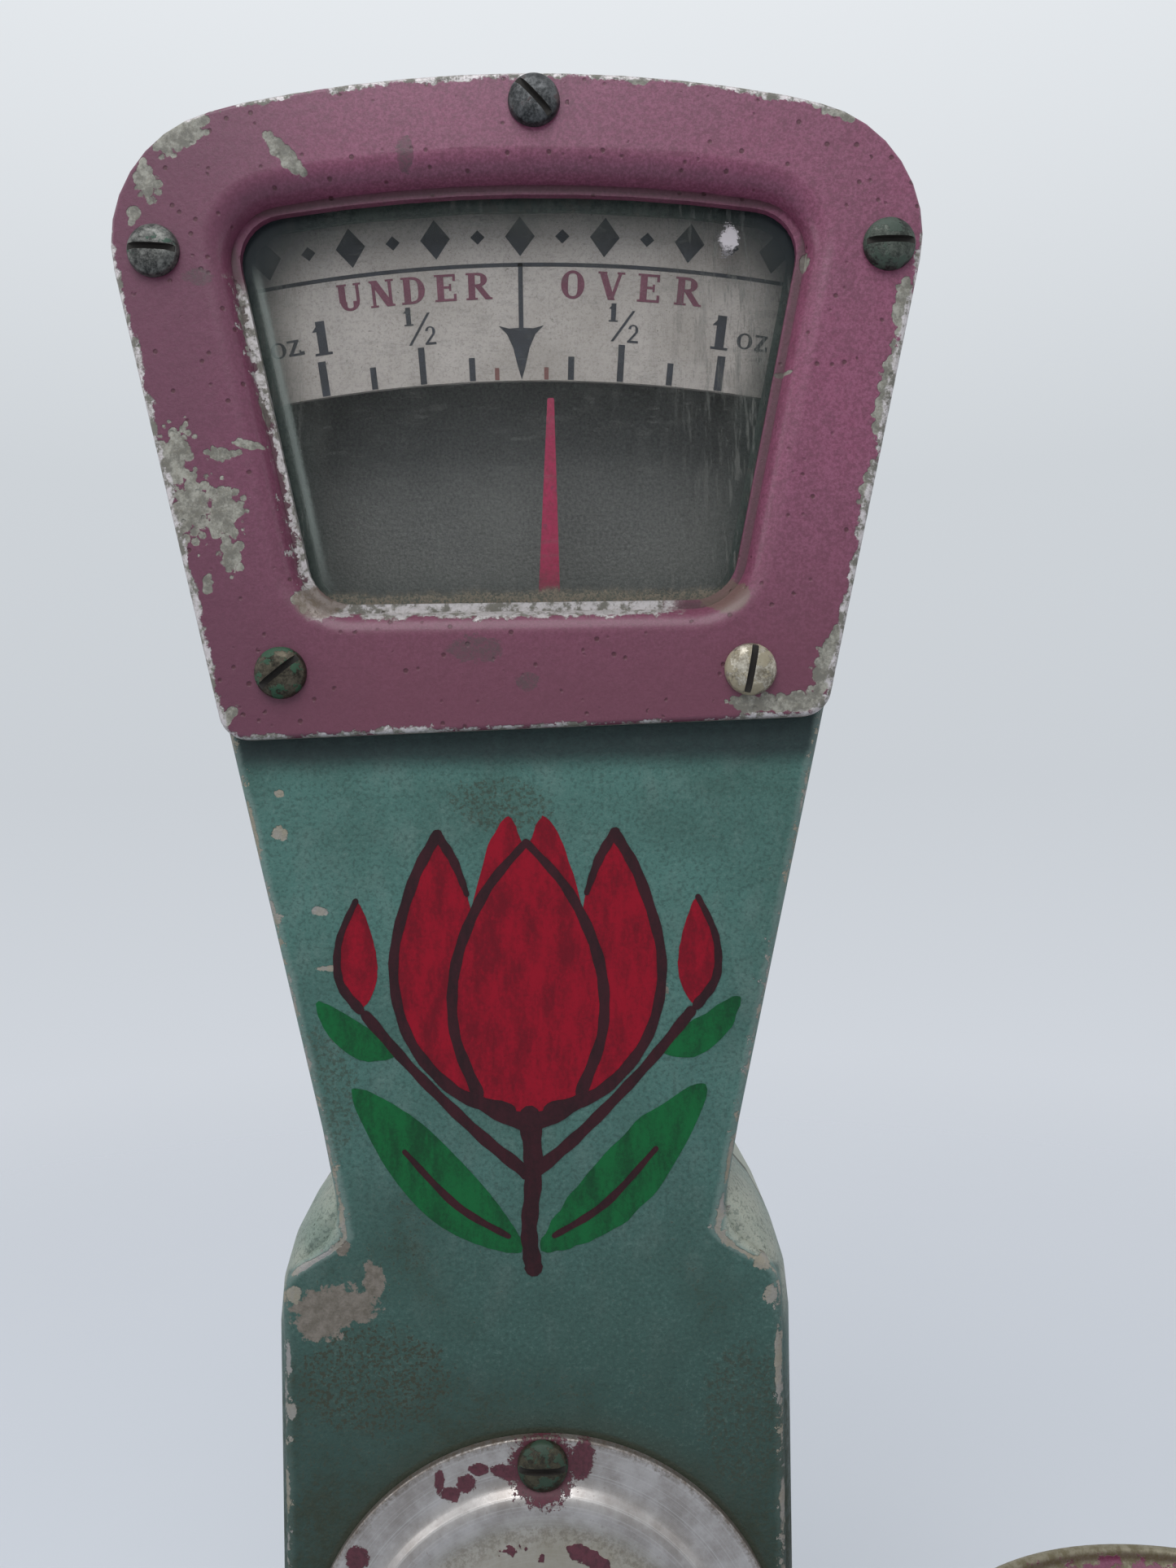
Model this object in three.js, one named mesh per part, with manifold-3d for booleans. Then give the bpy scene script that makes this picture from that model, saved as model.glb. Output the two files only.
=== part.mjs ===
// Even-balance over-and-under scale with a fan-shaped dial tower.
// Millimetres, +Z up, origin on the floor under the middle of the base, front towards -Y.
import * as THREE from 'three';
import { mergeVertices } from 'three/addons/utils/BufferGeometryUtils.js';
import Module from 'manifold-3d';

// Tolerances and clearances
const weld = 0.001;
const seatGap = 0.1;
const runGap = 0.3;
const overrun = 5;

// Facet counts
const roundSteps = 32;
const smallSteps = 8;
const edgeSteps = 2;
const cornerSteps = 2;
const headSteps = 5;
const crownSteps = 10;

// Base casting and what stands under it
const footHeight = 8;
const footRadius = 13;
const footSoleShare = 0.86;
const footChamferShare = 0.3;
const baseHalfLength = 205;
const baseHalfDepth = 75;
const footInsetX = 37;
const footInsetY = 29;
const footPlaceX = baseHalfLength - footInsetX;
const footPlaceY = baseHalfDepth - footInsetY;
const baseCorner = 52;
const baseFlangeHeight = 6;
const baseFlangeWidth = 4;
const baseWall = 4.5;
const baseShoulder = 13;
const deckTop = 75;
const deckThickness = 5;
const bottomPlateThickness = 1.5;
const bottomPlateRise = 1;
const cornerBossRadius = 9;

// Tower casting
const towerFrontY = -17.6;
const towerSeamY = 7.4;
const towerWall = 3.8;
const towerEdge = 1.8;
const bodyHalfWidth = 44;
const shoulderTop = 212;
const shoulderDrop = 15;
const hollowDrop = 6;
const neckWaistHeight = 215;
const neckWaistHalfWidth = 33.4;
const headCrown = 413.2;
const headSideDrop = 36.2;
const headSideHeight = headCrown - headSideDrop;
const headSideHalfWidth = 69.1;
const headCorner = 23;
const headCrownRadius = 250;
const humpHalfWidth = 48.8;
const humpTop = 230;
const humpCorner = 36;
const humpFlareDepth = 16;
const humpFlare = 4.2;
const towerFlangeHeight = 4;
const towerFlangeWidth = 6;

// Rear cover
const rearCoverBackY = 30;
const rearCoverWall = 3;
const rearCoverEdge = 5;
const rearScrewPlaceX = 38;
const rearScrewHighShare = 0.77;
const rearScrewLowShare = 0.145;

// Bezel, glass and chart
const bezelThickness = 3;
const bezelHeight = 113.4;
const bezelFootHeight = headCrown - bezelHeight;
const bezelFootSlope = 1.5;
const bezelFootCorner = 5;
const bezelEdge = 0.9;
const bezelLipDepth = 6;
const bezelRoll = 4.6;
const bezelLedge = 1.6;
const windowSideDrop = 34.6;
const windowSideHeight = headCrown - windowSideDrop;
const windowSideBorder = 21.15;
const windowFootBorder = 20.45;
const windowFootRise = 22.4;
const windowFootHeight = bezelFootHeight + windowFootRise;
const windowCrownDrop = 19;
const windowCrown = headCrown - windowCrownDrop;
const windowCrownRadius = 290;
const windowCorner = 8;
const glassThickness = 2;
const glassMargin = 4;
const retainerThickness = 0.9;
const retainerReveal = 1.1;
const chartPlaneY = -9.6;
const chartThickness = 0.8;
const chartCrownDrop = 15.4;
const chartBand = 34.2;
const chartSideInset = 5.69;
const chartScrewInset = 14.13;
const chartScrewShare = 0.6;

// Round-head screws
const screwHeadRadius = 4.55;
const screwHeadHeight = 2.5;
const screwShankRadius = 1.7;
const screwShankLength = 9;
const screwSlotWidth = 1.1;
const screwSlotDepth = 1.1;
const screwBossRadius = 4.9;
const bezelBossRadius = 4.4;
const screwDomeShares = [
  [1, 0.4],
  [0.72, 0.88],
  [0, 1],
];
const bezelScrewShares = [
  { name: 'top', across: 0.0435, up: 0.9533, slot: 0.82 },
  { name: 'left', across: -0.8892, up: 0.7328, slot: 0.05 },
  { name: 'right', across: 0.9136, up: 0.7275, slot: 0 },
  { name: 'lower_left', across: -0.7678, up: 0.0891, slot: -0.66 },
  { name: 'lower_right', across: 0.7251, up: 0.0847, slot: -1.38 },
];

// Access cover in the tower's front
const coverPlaceX = 1.5;
const coverHeight = 134.5;
const coverRadius = 42;
const coverSheet = 1.6;
const coverBeadRadius = 31;
const coverBeadRise = 1.3;
const coverDomeRise = 4.2;
const coverHoleRadius = 29;
const coverDomeShares = [
  [0.75, 0.6],
  [0.45, 0.9],
  [0, 1],
];
const coverUnderShares = [
  [0, 1],
  [0.6, 0.75],
];
const coverBeadShares = [
  [1, 0],
  [0.5, 0.85],
  [0, 1],
  [-1.6, 0.3],
];
const coverRimShare = 0.4;
const coverUnderRise = 0.3;
const coverScrewCircle = 37.4;
const coverScrewCount = 3;
const coverScrewHeadRadius = 4.4;
const coverScrewLength = 7;

// Beam, check link and the pins they turn on
const armInset = 69;
const armLength = baseHalfLength - armInset;
const fulcrumHeight = 50;
const checkHeight = 24;
const rockDegrees = 3;
const beamThickness = 8;
const beamHalfHeight = 9;
const beamEndHalfHeight = 6;
const beamEndLength = 6;
const beamHubHalfWidth = 18;
const beamRim = 2.6;
const beamWindows = 3;
const beamStudRadius = 1;
const knifeHalfWidth = 2;
const knifeDepth = 3.5;
const knifeOverhang = 1.2;
const knifeSeatHalfWidth = 4.2;
const knifeSeatDepth = 6.6;
const checkThickness = 6;
const checkHalfHeight = 3;
const checkEyeRadius = 4.4;
const pinRadius = 1.6;
const pinOverhang = 1.2;

// Fulcrum stand
const standHalfWidth = 11;
const standCheek = 3;
const standClearance = 1;
const standFootWidth = 9;
const standTopThickness = 4;
const standBelowCheck = 6;

// Pan carriers, supports, collars and pans
const carrierHalfWidth = 7.5;
const carrierCheek = 3;
const carrierClearance = 0.8;
const carrierBridgeThickness = 4.5;
const carrierHeadroom = 1.2;
const carrierBelowCheck = 5;
const stemRadius = 5;
const stemTop = 90.4;
const collarRadius = 12;
const collarHeight = 3.6;
const collarBore = 7.4;
const collarChamferShare = 0.4;
const supportTop = 91;
const supportThickness = 3;
const supportHubRadius = 9;
const supportHubDrop = 1.4;
const supportReachShare = 0.4358;
const supportArmWidth = 9;
const supportArms = 4;
const panRim = 103;
const panReachShare = 0.7374;
const panFloorShare = 0.762;
const panSheet = 1.3;
const panBeadRadius = 1.7;
const panSlopeShares = [0.62, 0.3];
const panRimShares = [
  [0.9, -0.4],
  [1, 0.3],
  [0.3, 1],
  [-0.7, 0.6],
];
const plateReachShare = 0.539;
const plateThickness = 2.6;
const plateRimRise = 2.4;
const plateRimWidth = 3;
const plateRimTopShare = 0.6;

// Pointer and the linkage that drives it
const pointerPivotHeight = 113;
const pointerTipGap = 3.2;
const pointerThickness = 0.8;
const pointerTipHalfWidth = 0.6;
const pointerShoulderHalfWidth = 2.1;
const pointerTaperLength = 40;
const pointerReading = 0.021;
const pointerGain = 2.73;
const linkPinPlaceX = 20;
const linkStandoff = 1.4;
const linkThickness = 1.4;
const linkHalfWidth = 2.4;
const linkEyeRadius = 3.4;
const linkEyeClearance = 0.45;
const axleRadius = 1.5;
const hubRadius = 5;
const crankThickness = 1.3;
const crankHalfWidth = 2;
const bearingRadius = 4.4;
const bearingLength = 16;
const bearingStandoff = 0.6;
const bracketHalfWidth = 13;
const bracketThickness = 3;
const bracketFootDepth = 10;
const axleCollarRadius = 3.4;
const axleCollarLength = 2;
const deckSlotHalfLength = 5.5;
const deckSlotHalfWidth = 3.5;

// Oil dashpot, balance nut, sensitivity weight and stops
const dashpotRib = 1;
const dashpotInset = 43;
const dashpotRadius = 15;
const dashpotHeight = 27;
const dashpotWall = 1.5;
const plungerRadius = 10;
const plungerThickness = 1.6;
const plungerRodRadius = 1.1;
const plungerRise = 6;
const damperArmWidth = 7;
const damperArmThickness = 4;
const damperEyeRadius = 3.6;
const damperEyeWidth = 4;
const poisePlaceShare = 0.456;
const poiseTravel = 10;
const poiseRodRadius = 1.4;
const poiseRodRise = 11.3;
const poiseNutRadius = 3;
const poiseNutLength = 6;
const poisePostWidth = 4;
const bobRadius = 4;
const bobHeight = 8;
const bobRodRadius = 1.4;
const bobDrop = 11;
const stopPlaceShare = 0.735;
const stopRadius = 3;

// Screws out of sight that hold the tower on the deck
const towerScrewPlaceX = 37;
const towerScrewInset = 6.5;

// Worked-out places that several pieces share
const deckUnder = deckTop - deckThickness;
const rock = THREE.MathUtils.degToRad(rockDegrees);
const headSlope = (headSideHalfWidth - neckWaistHalfWidth) / (headSideHeight - neckWaistHeight);
const towerFootZ = deckTop + seatGap;
const bezelBackY = towerFrontY - seatGap;
const bezelFrontY = bezelBackY - bezelThickness;
const bezelLipY = bezelFrontY + bezelLipDepth;
const glassFrontY = bezelLipY + seatGap;
const glassBackY = glassFrontY + glassThickness;
const retainerFrontY = glassBackY + seatGap;
const trayBackY = towerSeamY - towerWall;
const coverFaceY = towerFrontY - seatGap;
const coverScrewEndY = coverFaceY - coverSheet + coverScrewLength;
const crankRadius = linkPinPlaceX / pointerGain;
const chartOuterRadius = headCrown - chartCrownDrop - pointerPivotHeight;
const chartInnerRadius = chartOuterRadius - chartBand;
const chartScrewRadius = chartInnerRadius + chartScrewShare * chartBand;
const chartHalfAngle = Math.asin((headSideHalfWidth - chartSideInset) / chartOuterRadius);
const chartScrewAngle = Math.asin((headSideHalfWidth - chartScrewInset) / chartScrewRadius);
const pointerTipRadius = chartInnerRadius - pointerTipGap;
const beamWindowStartX = linkPinPlaceX + 2 * beamRim;
const beamWindowPitch = (armLength - knifeSeatHalfWidth - beamRim - beamWindowStartX) / beamWindows;
const dashpotPlaceX = -(beamWindowStartX + dashpotRib * beamWindowPitch - beamRim / 2);
const poisePlaceX = poisePlaceShare * armLength;
const stopPlaceX = stopPlaceShare * armLength;
const dashpotPlaceY = baseHalfDepth - dashpotInset;
const panReach = armLength - humpHalfWidth;
const supportArm = supportReachShare * panReach;
const panRadius = panReachShare * panReach;
const panFloorRadius = panFloorShare * panRadius;
const plateRadius = plateReachShare * panReach;

const wasm = await Module();
wasm.setup();

// Turns a closed three.js geometry into a solid that can be joined and cut.
function solid(geometry) {
  const bare = geometry.index ? geometry.toNonIndexed() : geometry.clone();
  bare.deleteAttribute('normal');
  bare.deleteAttribute('uv');
  const merged = mergeVertices(bare, weld);
  return new wasm.Manifold(
    new wasm.Mesh({
      numProp: 3,
      vertProperties: merged.attributes.position.array,
      triVerts: new Uint32Array(merged.index.array),
    }),
  );
}

const scale = new THREE.Group();

// Adds one finished solid to the scale, or to a group in it, as its own named mesh.
function addPiece(name, body, finish, parent = scale) {
  const made = body.getMesh();
  const geometry = new THREE.BufferGeometry();
  geometry.setAttribute('position', new THREE.BufferAttribute(made.vertProperties, made.numProp));
  geometry.setIndex(new THREE.BufferAttribute(made.triVerts, 1));
  geometry.computeVertexNormals();
  const mesh = new THREE.Mesh(geometry, new THREE.MeshStandardMaterial(finish));
  mesh.name = name;
  parent.add(mesh);
  return mesh;
}

// Extrudes an outline drawn in X and Z from one depth to another along Y.
function slab(outline, frontY, backY, bevel = {}) {
  const shape = outline instanceof THREE.Shape ? outline : new THREE.Shape(outline);
  const thickness = bevel.bevelThickness ?? 0;
  const geometry = new THREE.ExtrudeGeometry(shape, {
    depth: backY - frontY - 2 * thickness,
    curveSegments: cornerSteps,
    bevelEnabled: thickness > 0,
    ...bevel,
  });
  geometry.rotateX(Math.PI / 2);
  geometry.translate(0, backY - thickness, 0);
  return solid(geometry);
}

// Extrudes an outline drawn in X and Y upwards from one height to another.
function block(shape, low, high, bevel = {}) {
  const thickness = bevel.bevelThickness ?? 0;
  const geometry = new THREE.ExtrudeGeometry(shape, {
    depth: high - low - 2 * thickness,
    curveSegments: cornerSteps,
    bevelEnabled: thickness > 0,
    ...bevel,
  });
  geometry.translate(0, 0, low + thickness);
  return solid(geometry);
}

function boxFrom(lowX, highX, lowY, highY, lowZ, highZ) {
  const geometry = new THREE.BoxGeometry(highX - lowX, highY - lowY, highZ - lowZ);
  geometry.translate((lowX + highX) / 2, (lowY + highY) / 2, (lowZ + highZ) / 2);
  return solid(geometry);
}

// A round bar along Y, seen from the front at x and z.
function barAlongY(radius, frontY, backY, x, z, steps = smallSteps) {
  const geometry = new THREE.CylinderGeometry(radius, radius, backY - frontY, steps);
  geometry.translate(x, (frontY + backY) / 2, z);
  return solid(geometry);
}

// A round bar standing up at x and y.
function barUp(radius, low, high, x, y, steps = smallSteps) {
  const geometry = new THREE.CylinderGeometry(radius, radius, high - low, steps);
  geometry.rotateX(Math.PI / 2);
  geometry.translate(x, y, (low + high) / 2);
  return solid(geometry);
}

// A profile of radius and height, turned round an upright axis at x and y.
function turnedUp(profile, x, y, steps = roundSteps) {
  const points = profile.map(([radius, height]) => new THREE.Vector2(radius, height));
  const geometry = new THREE.LatheGeometry(points, steps);
  geometry.rotateX(Math.PI / 2);
  geometry.translate(x, y, 0);
  return solid(geometry);
}

// A profile of radius and distance towards the front, turned round an axis along Y.
function turnedToFront(profile, x, faceY, z, steps = roundSteps) {
  const points = profile.map(([radius, rise]) => new THREE.Vector2(radius, rise));
  const geometry = new THREE.LatheGeometry(points, steps);
  geometry.rotateX(Math.PI);
  geometry.translate(x, faceY, z);
  return solid(geometry);
}

function roundedRectangle(halfX, halfY, corner) {
  const shape = new THREE.Shape();
  shape.moveTo(halfX - corner, -halfY);
  shape.absarc(halfX - corner, -halfY + corner, corner, -Math.PI / 2, 0);
  shape.absarc(halfX - corner, halfY - corner, corner, 0, Math.PI / 2);
  shape.absarc(-halfX + corner, halfY - corner, corner, Math.PI / 2, Math.PI);
  shape.absarc(-halfX + corner, -halfY + corner, corner, Math.PI, 1.5 * Math.PI);
  shape.closePath();
  return shape;
}

// Rounds a corner of an outline by the tangent arc that fits between its two neighbours.
function roundedPath(corners) {
  const shape = new THREE.Shape();
  corners.forEach(({ x, z, r }, i) => {
    const here = new THREE.Vector2(x, z);
    const before = corners.at(i - 1);
    const after = corners[(i + 1) % corners.length];
    const back = new THREE.Vector2(before.x, before.z).sub(here).normalize();
    const ahead = new THREE.Vector2(after.x, after.z).sub(here).normalize();
    const half = Math.acos(THREE.MathUtils.clamp(back.dot(ahead), -1, 1)) / 2;
    const reach = r ? r / Math.tan(half) : 0;
    const enter = here.clone().addScaledVector(back, reach);
    const leave = here.clone().addScaledVector(ahead, reach);
    if (i === 0) shape.moveTo(enter.x, enter.y);
    else shape.lineTo(enter.x, enter.y);
    if (r) {
      const middle = back.clone().add(ahead).normalize();
      const centre = here.clone().addScaledVector(middle, r / Math.sin(half));
      const from = enter.clone().sub(centre).angle();
      const to = leave.clone().sub(centre).angle();
      const turn = Math.sin(to - from) < 0;
      shape.absarc(centre.x, centre.y, r, from, to, turn);
    }
  });
  shape.closePath();
  return shape;
}

// Half width of the tower's side line at a height.
const towerHalfWidth = (z) => neckWaistHalfWidth + headSlope * (z - neckWaistHeight);

// Centres of the bezel's screws, placed across the head's width and up its height.
const bezelScrews = bezelScrewShares.map(({ name, across, up, slot }) => {
  const z = bezelFootHeight + up * bezelHeight;
  return { name, x: across * towerHalfWidth(z), z, slot };
});

// The crown arc of the head or of the window, as corner points of an outline.
function crownPoints(crown, radius, halfWidth, count = crownSteps) {
  const reach = Math.asin(halfWidth / radius);
  return Array.from({ length: count + 1 }, (_, i) => {
    const angle = reach * (1 - (2 * i) / count);
    return { x: radius * Math.sin(angle), z: crown - radius * (1 - Math.cos(angle)) };
  });
}

// Half width at which a sloping side meets a crown arc.
function crownMeeting(crown, radius, halfWidthAt) {
  let z = crown;
  for (let i = 0; i < crownSteps; i++) {
    z = crown - radius * (1 - Math.cos(Math.asin(halfWidthAt(z) / radius)));
  }
  return halfWidthAt(z);
}

// Outline of the dial head above a height, shrunk by a margin on every side.
function headOutline(foot, margin = 0, footCorner = 0, footSlope = 0) {
  const side = (z) => towerHalfWidth(z) - margin * Math.hypot(1, headSlope);
  const radius = headCrownRadius - margin;
  const corner = headCorner - margin;
  const crown = headCrown - margin;
  const arc = crownPoints(crown, radius, crownMeeting(crown, radius, side));
  arc[0].r = corner;
  arc.at(-1).r = corner;
  const inner = arc.filter((p, i) => i === 0 || i === arc.length - 1 || Math.abs(p.x) < arc[0].x - corner);
  return roundedPath([
    { x: -side(foot - footSlope), z: foot - footSlope, r: footCorner },
    { x: side(foot + footSlope), z: foot + footSlope, r: footCorner },
    ...inner,
  ]);
}

// Front outline of the whole tower, from the deck to the crown, shrunk by a margin.
function towerOutline(foot, margin = 0) {
  const side = (z) => towerHalfWidth(z) - margin * Math.hypot(1, headSlope);
  const radius = headCrownRadius - margin;
  const crown = headCrown - margin;
  const arc = crownPoints(crown, radius, crownMeeting(crown, radius, side));
  arc[0].r = headCorner - margin;
  arc.at(-1).r = headCorner - margin;
  const inner = arc.filter(
    (p, i) => i === 0 || i === arc.length - 1 || Math.abs(p.x) < arc[0].x - headCorner + margin,
  );
  const body = bodyHalfWidth - margin;
  const waist = { x: side(neckWaistHeight), z: neckWaistHeight };
  const ledge = { x: body, z: shoulderTop - shoulderDrop / 2 - margin };
  const half = [
    { x: body, z: foot },
    { ...ledge, r: shoulderDrop / 2 },
    { x: waist.x, z: shoulderTop - margin, r: Math.max(shoulderDrop / 5 - margin / 2, 0) },
    { x: side(neckWaistHeight + shoulderDrop), z: neckWaistHeight + shoulderDrop },
  ];
  const mirrored = half.map(({ x, z, r }) => ({ x: -x, z, r })).reverse();
  return roundedPath([...half, ...inner, ...mirrored]);
}

// Outline of the arch behind the lower body, shared by the casting and the rear cover.
function humpOutline(foot, margin = 0) {
  const half = humpHalfWidth - margin;
  const top = humpTop - margin;
  const corner = humpCorner - margin;
  return roundedPath([
    { x: -half, z: foot, r: 0 },
    { x: half, z: foot, r: 0 },
    { x: half, z: top, r: corner },
    { x: -half, z: top, r: corner },
  ]);
}

// Outline of the bezel's window, grown by a margin.
function windowOutline(margin = 0) {
  const footHalfWidth = towerHalfWidth(windowFootHeight) - windowFootBorder;
  const sideHalfWidth = towerHalfWidth(windowSideHeight) - windowSideBorder;
  const slope = (sideHalfWidth - footHalfWidth) / (windowSideHeight - windowFootHeight);
  const side = (z) => footHalfWidth + slope * (z - windowFootHeight) + margin * Math.hypot(1, slope);
  const radius = windowCrownRadius + margin;
  const crown = windowCrown + margin;
  const corner = windowCorner + margin;
  const arc = crownPoints(crown, radius, crownMeeting(crown, radius, side), crownSteps / 2);
  arc[0].r = corner;
  arc.at(-1).r = corner;
  const inner = arc.filter((p, i) => i === 0 || i === arc.length - 1 || Math.abs(p.x) < arc[0].x - corner);
  const foot = windowFootHeight - margin;
  return roundedPath([
    { x: -side(foot), z: foot, r: corner },
    { x: side(foot), z: foot, r: corner },
    ...inner,
  ]);
}

// Finishes, as the photograph shows them or as such pieces usually have.
const sagePaint = { color: 0x7f9f97, roughness: 0.55, metalness: 0 };
const mauvePaint = { color: 0x9a5a7c, roughness: 0.45, metalness: 0.1 };
const creamPaint = { color: 0xc9cbb8, roughness: 0.55, metalness: 0 };
const darkScrew = { color: 0x5a5a52, roughness: 0.4, metalness: 0.8 };
const paleScrew = { color: 0xb5b0a0, roughness: 0.4, metalness: 0.8 };
const spunAluminium = { color: 0xc4c4c2, roughness: 0.35, metalness: 0.9 };
const plainSteel = { color: 0x9a9c9e, roughness: 0.35, metalness: 0.9 };
const castIron = { color: 0x4c5350, roughness: 0.7, metalness: 0.4 };
const brass = { color: 0xb39a55, roughness: 0.35, metalness: 0.9 };
const clearGlass = { color: 0xdfe8e4, roughness: 0.05, metalness: 0, transparent: true, opacity: 0.3 };
const enamelledChart = { color: 0xb9b7b0, roughness: 0.5, metalness: 0 };
const pointerRed = { color: 0xc02878, roughness: 0.45, metalness: 0 };
const blackRubber = { color: 0x222222, roughness: 0.9, metalness: 0 };

// A round-head screw that points back along Y, with its seat at the origin.
function screw({ head = screwHeadRadius, length = screwShankLength } = {}) {
  const rise = screwHeadHeight * (head / screwHeadRadius);
  const profile = [
    [0, -length],
    [screwShankRadius, -length],
    [screwShankRadius, seatGap],
    [head, seatGap],
    ...screwDomeShares.map(([across, up]) => [head * across, rise * up]),
  ];
  const cut = new THREE.BoxGeometry(2 * head + overrun, 2 * screwSlotDepth, screwSlotWidth);
  cut.translate(0, -rise, 0);
  return turnedToFront(profile, 0, 0, 0, smallSteps).subtract(solid(cut));
}

const fine = { curveSegments: headSteps };
const joined = (bodies) => bodies.reduce((whole, body) => whole.add(body));

// Tower casting: head tray, hollow neck and lower body, open at the back low down.
const coverHole = barAlongY(
  coverHoleRadius, towerFrontY - overrun, trayBackY, coverPlaceX, coverHeight, roundSteps,
);
const humpFrontY = towerFrontY + towerEdge;
const rearLevels = [
  { level: 'low', share: rearScrewLowShare },
  { level: 'high', share: rearScrewHighShare },
];
const rearPlaces = rearLevels.flatMap(({ level, share }) =>
  [-1, 1].map((side) => ({
    side: side < 0 ? 'left' : 'right',
    level,
    x: side * rearScrewPlaceX,
    z: deckTop + share * (humpTop - deckTop),
  })),
);
const towerScrewRows = [towerFrontY + towerScrewInset, towerSeamY - towerScrewInset];
const towerScrewPlaces = [-1, 1].flatMap((side) =>
  towerScrewRows.map((y, row) => ({
    name: `tower_screw_${row === 0 ? 'front' : 'rear'}_${side < 0 ? 'left' : 'right'}`,
    x: side * towerScrewPlaceX,
    y,
  })),
);
{
  const front = slab(towerOutline(towerFootZ), towerFrontY, towerSeamY, {
    bevelThickness: towerEdge,
    bevelSize: towerEdge,
    bevelOffset: -towerEdge,
    bevelSegments: edgeSteps,
    curveSegments: headSteps,
  });
  const flatBack = slab(towerOutline(towerFootZ, towerEdge / 2), towerSeamY - 2 * towerEdge, towerSeamY, fine);
  const hump = slab(humpOutline(towerFootZ), humpFrontY, towerSeamY + humpFlareDepth, {
    bevelThickness: humpFlareDepth,
    bevelSize: humpFlare,
    bevelOffset: -humpFlare,
    bevelSegments: edgeSteps + 1,
    curveSegments: headSteps,
  });
  const behindSeam = boxFrom(
    -2 * humpHalfWidth,
    2 * humpHalfWidth,
    towerSeamY,
    towerSeamY + 2 * humpFlareDepth,
    0,
    2 * humpTop,
  );
  const flange = block(
    roundedRectangle(bodyHalfWidth + towerFlangeWidth, towerFlangeWidth - towerFrontY, towerFlangeWidth),
    towerFootZ,
    towerFootZ + towerFlangeHeight,
  );
  const outside = front.add(flatBack).add(hump).add(flange).subtract(behindSeam);

  const innerFrontY = towerFrontY + towerWall;
  const hollow = slab(towerOutline(0, towerWall), innerFrontY, trayBackY);
  const bodyRoom = boxFrom(
    -bodyHalfWidth, bodyHalfWidth, innerFrontY, towerSeamY + overrun, 0, shoulderTop - hollowDrop,
  );
  const bodyHollow = slab(humpOutline(0, towerWall + humpFlare), innerFrontY, towerSeamY + overrun)
    .intersect(bodyRoom);
  const trayMouth = slab(headOutline(bezelFootHeight + towerWall, towerWall), towerFrontY - overrun, trayBackY);
  const bosses = bezelScrews.map(({ x, z }) =>
    barAlongY(bezelBossRadius, towerFrontY, trayBackY + seatGap, x, z).intersect(front),
  );
  const chartBosses = [-1, 1].map((side) =>
    barAlongY(
      screwBossRadius,
      chartPlaneY + chartThickness + seatGap,
      trayBackY + seatGap,
      side * chartScrewRadius * Math.sin(chartScrewAngle),
      pointerPivotHeight + chartScrewRadius * Math.cos(chartScrewAngle),
    ).intersect(front),
  );
  const rearBosses = rearPlaces.map(({ x, z }) =>
    barAlongY(screwBossRadius, towerFrontY + towerWall / 2, towerSeamY, x, z),
  );
  const coverBosses = coverScrewPlaces().map(({ x, z }) =>
    barAlongY(screwBossRadius, towerFrontY + towerWall / 2, coverScrewEndY, x, z),
  );
  const footBosses = towerScrewPlaces.map(({ x, y }) =>
    barUp(screwBossRadius, towerFootZ, towerFootZ + 2 * towerFlangeHeight, x, y),
  );
  const drill = screwShankRadius + runGap / 2;
  const drilled = joined([
    ...bezelScrews.map(({ x, z }) =>
      barAlongY(drill, towerFrontY - overrun, towerFrontY + screwShankLength, x, z)),
    ...[-1, 1].map((side) =>
      barAlongY(
        drill,
        chartPlaneY,
        chartPlaneY + screwShankLength + runGap,
        side * chartScrewRadius * Math.sin(chartScrewAngle),
        pointerPivotHeight + chartScrewRadius * Math.cos(chartScrewAngle),
      )),
    ...rearPlaces.map(({ x, z }) =>
      barAlongY(drill, towerSeamY - screwShankLength, towerSeamY + overrun, x, z)),
    ...coverScrewPlaces().map(({ x, z }) =>
      barAlongY(drill, towerFrontY - overrun, coverScrewEndY + overrun, x, z)),
    ...towerScrewPlaces.map(({ x, y }) =>
      barUp(drill, towerFootZ - overrun, towerFootZ + screwShankLength, x, y)),
  ]);
  const shell = outside.subtract(hollow).subtract(bodyHollow).subtract(trayMouth).subtract(coverHole);
  addPiece(
    'tower_casting',
    joined([shell, ...bosses, ...chartBosses, ...rearBosses, ...coverBosses, ...footBosses]).subtract(drilled),
    sagePaint,
  );
  for (const { name, x, y } of towerScrewPlaces) {
    const profile = [
      [0, deckUnder - screwHeadHeight],
      [screwHeadRadius, deckUnder - screwHeadHeight],
      [screwHeadRadius, deckUnder - seatGap],
      [screwShankRadius, deckUnder - seatGap],
      [screwShankRadius, towerFootZ + screwShankLength - runGap],
      [0, towerFootZ + screwShankLength - runGap],
    ];
    addPiece(name, turnedUp(profile, x, y, smallSteps), plainSteel);
  }
}

// Centres of the access cover's screws, the first at its top.
function coverScrewPlaces() {
  return Array.from({ length: coverScrewCount }, (_, i) => {
    const angle = (2 * Math.PI * i) / coverScrewCount;
    return {
      x: coverPlaceX + coverScrewCircle * Math.sin(angle),
      z: coverHeight + coverScrewCircle * Math.cos(angle),
      slot: angle,
    };
  });
}

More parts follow.
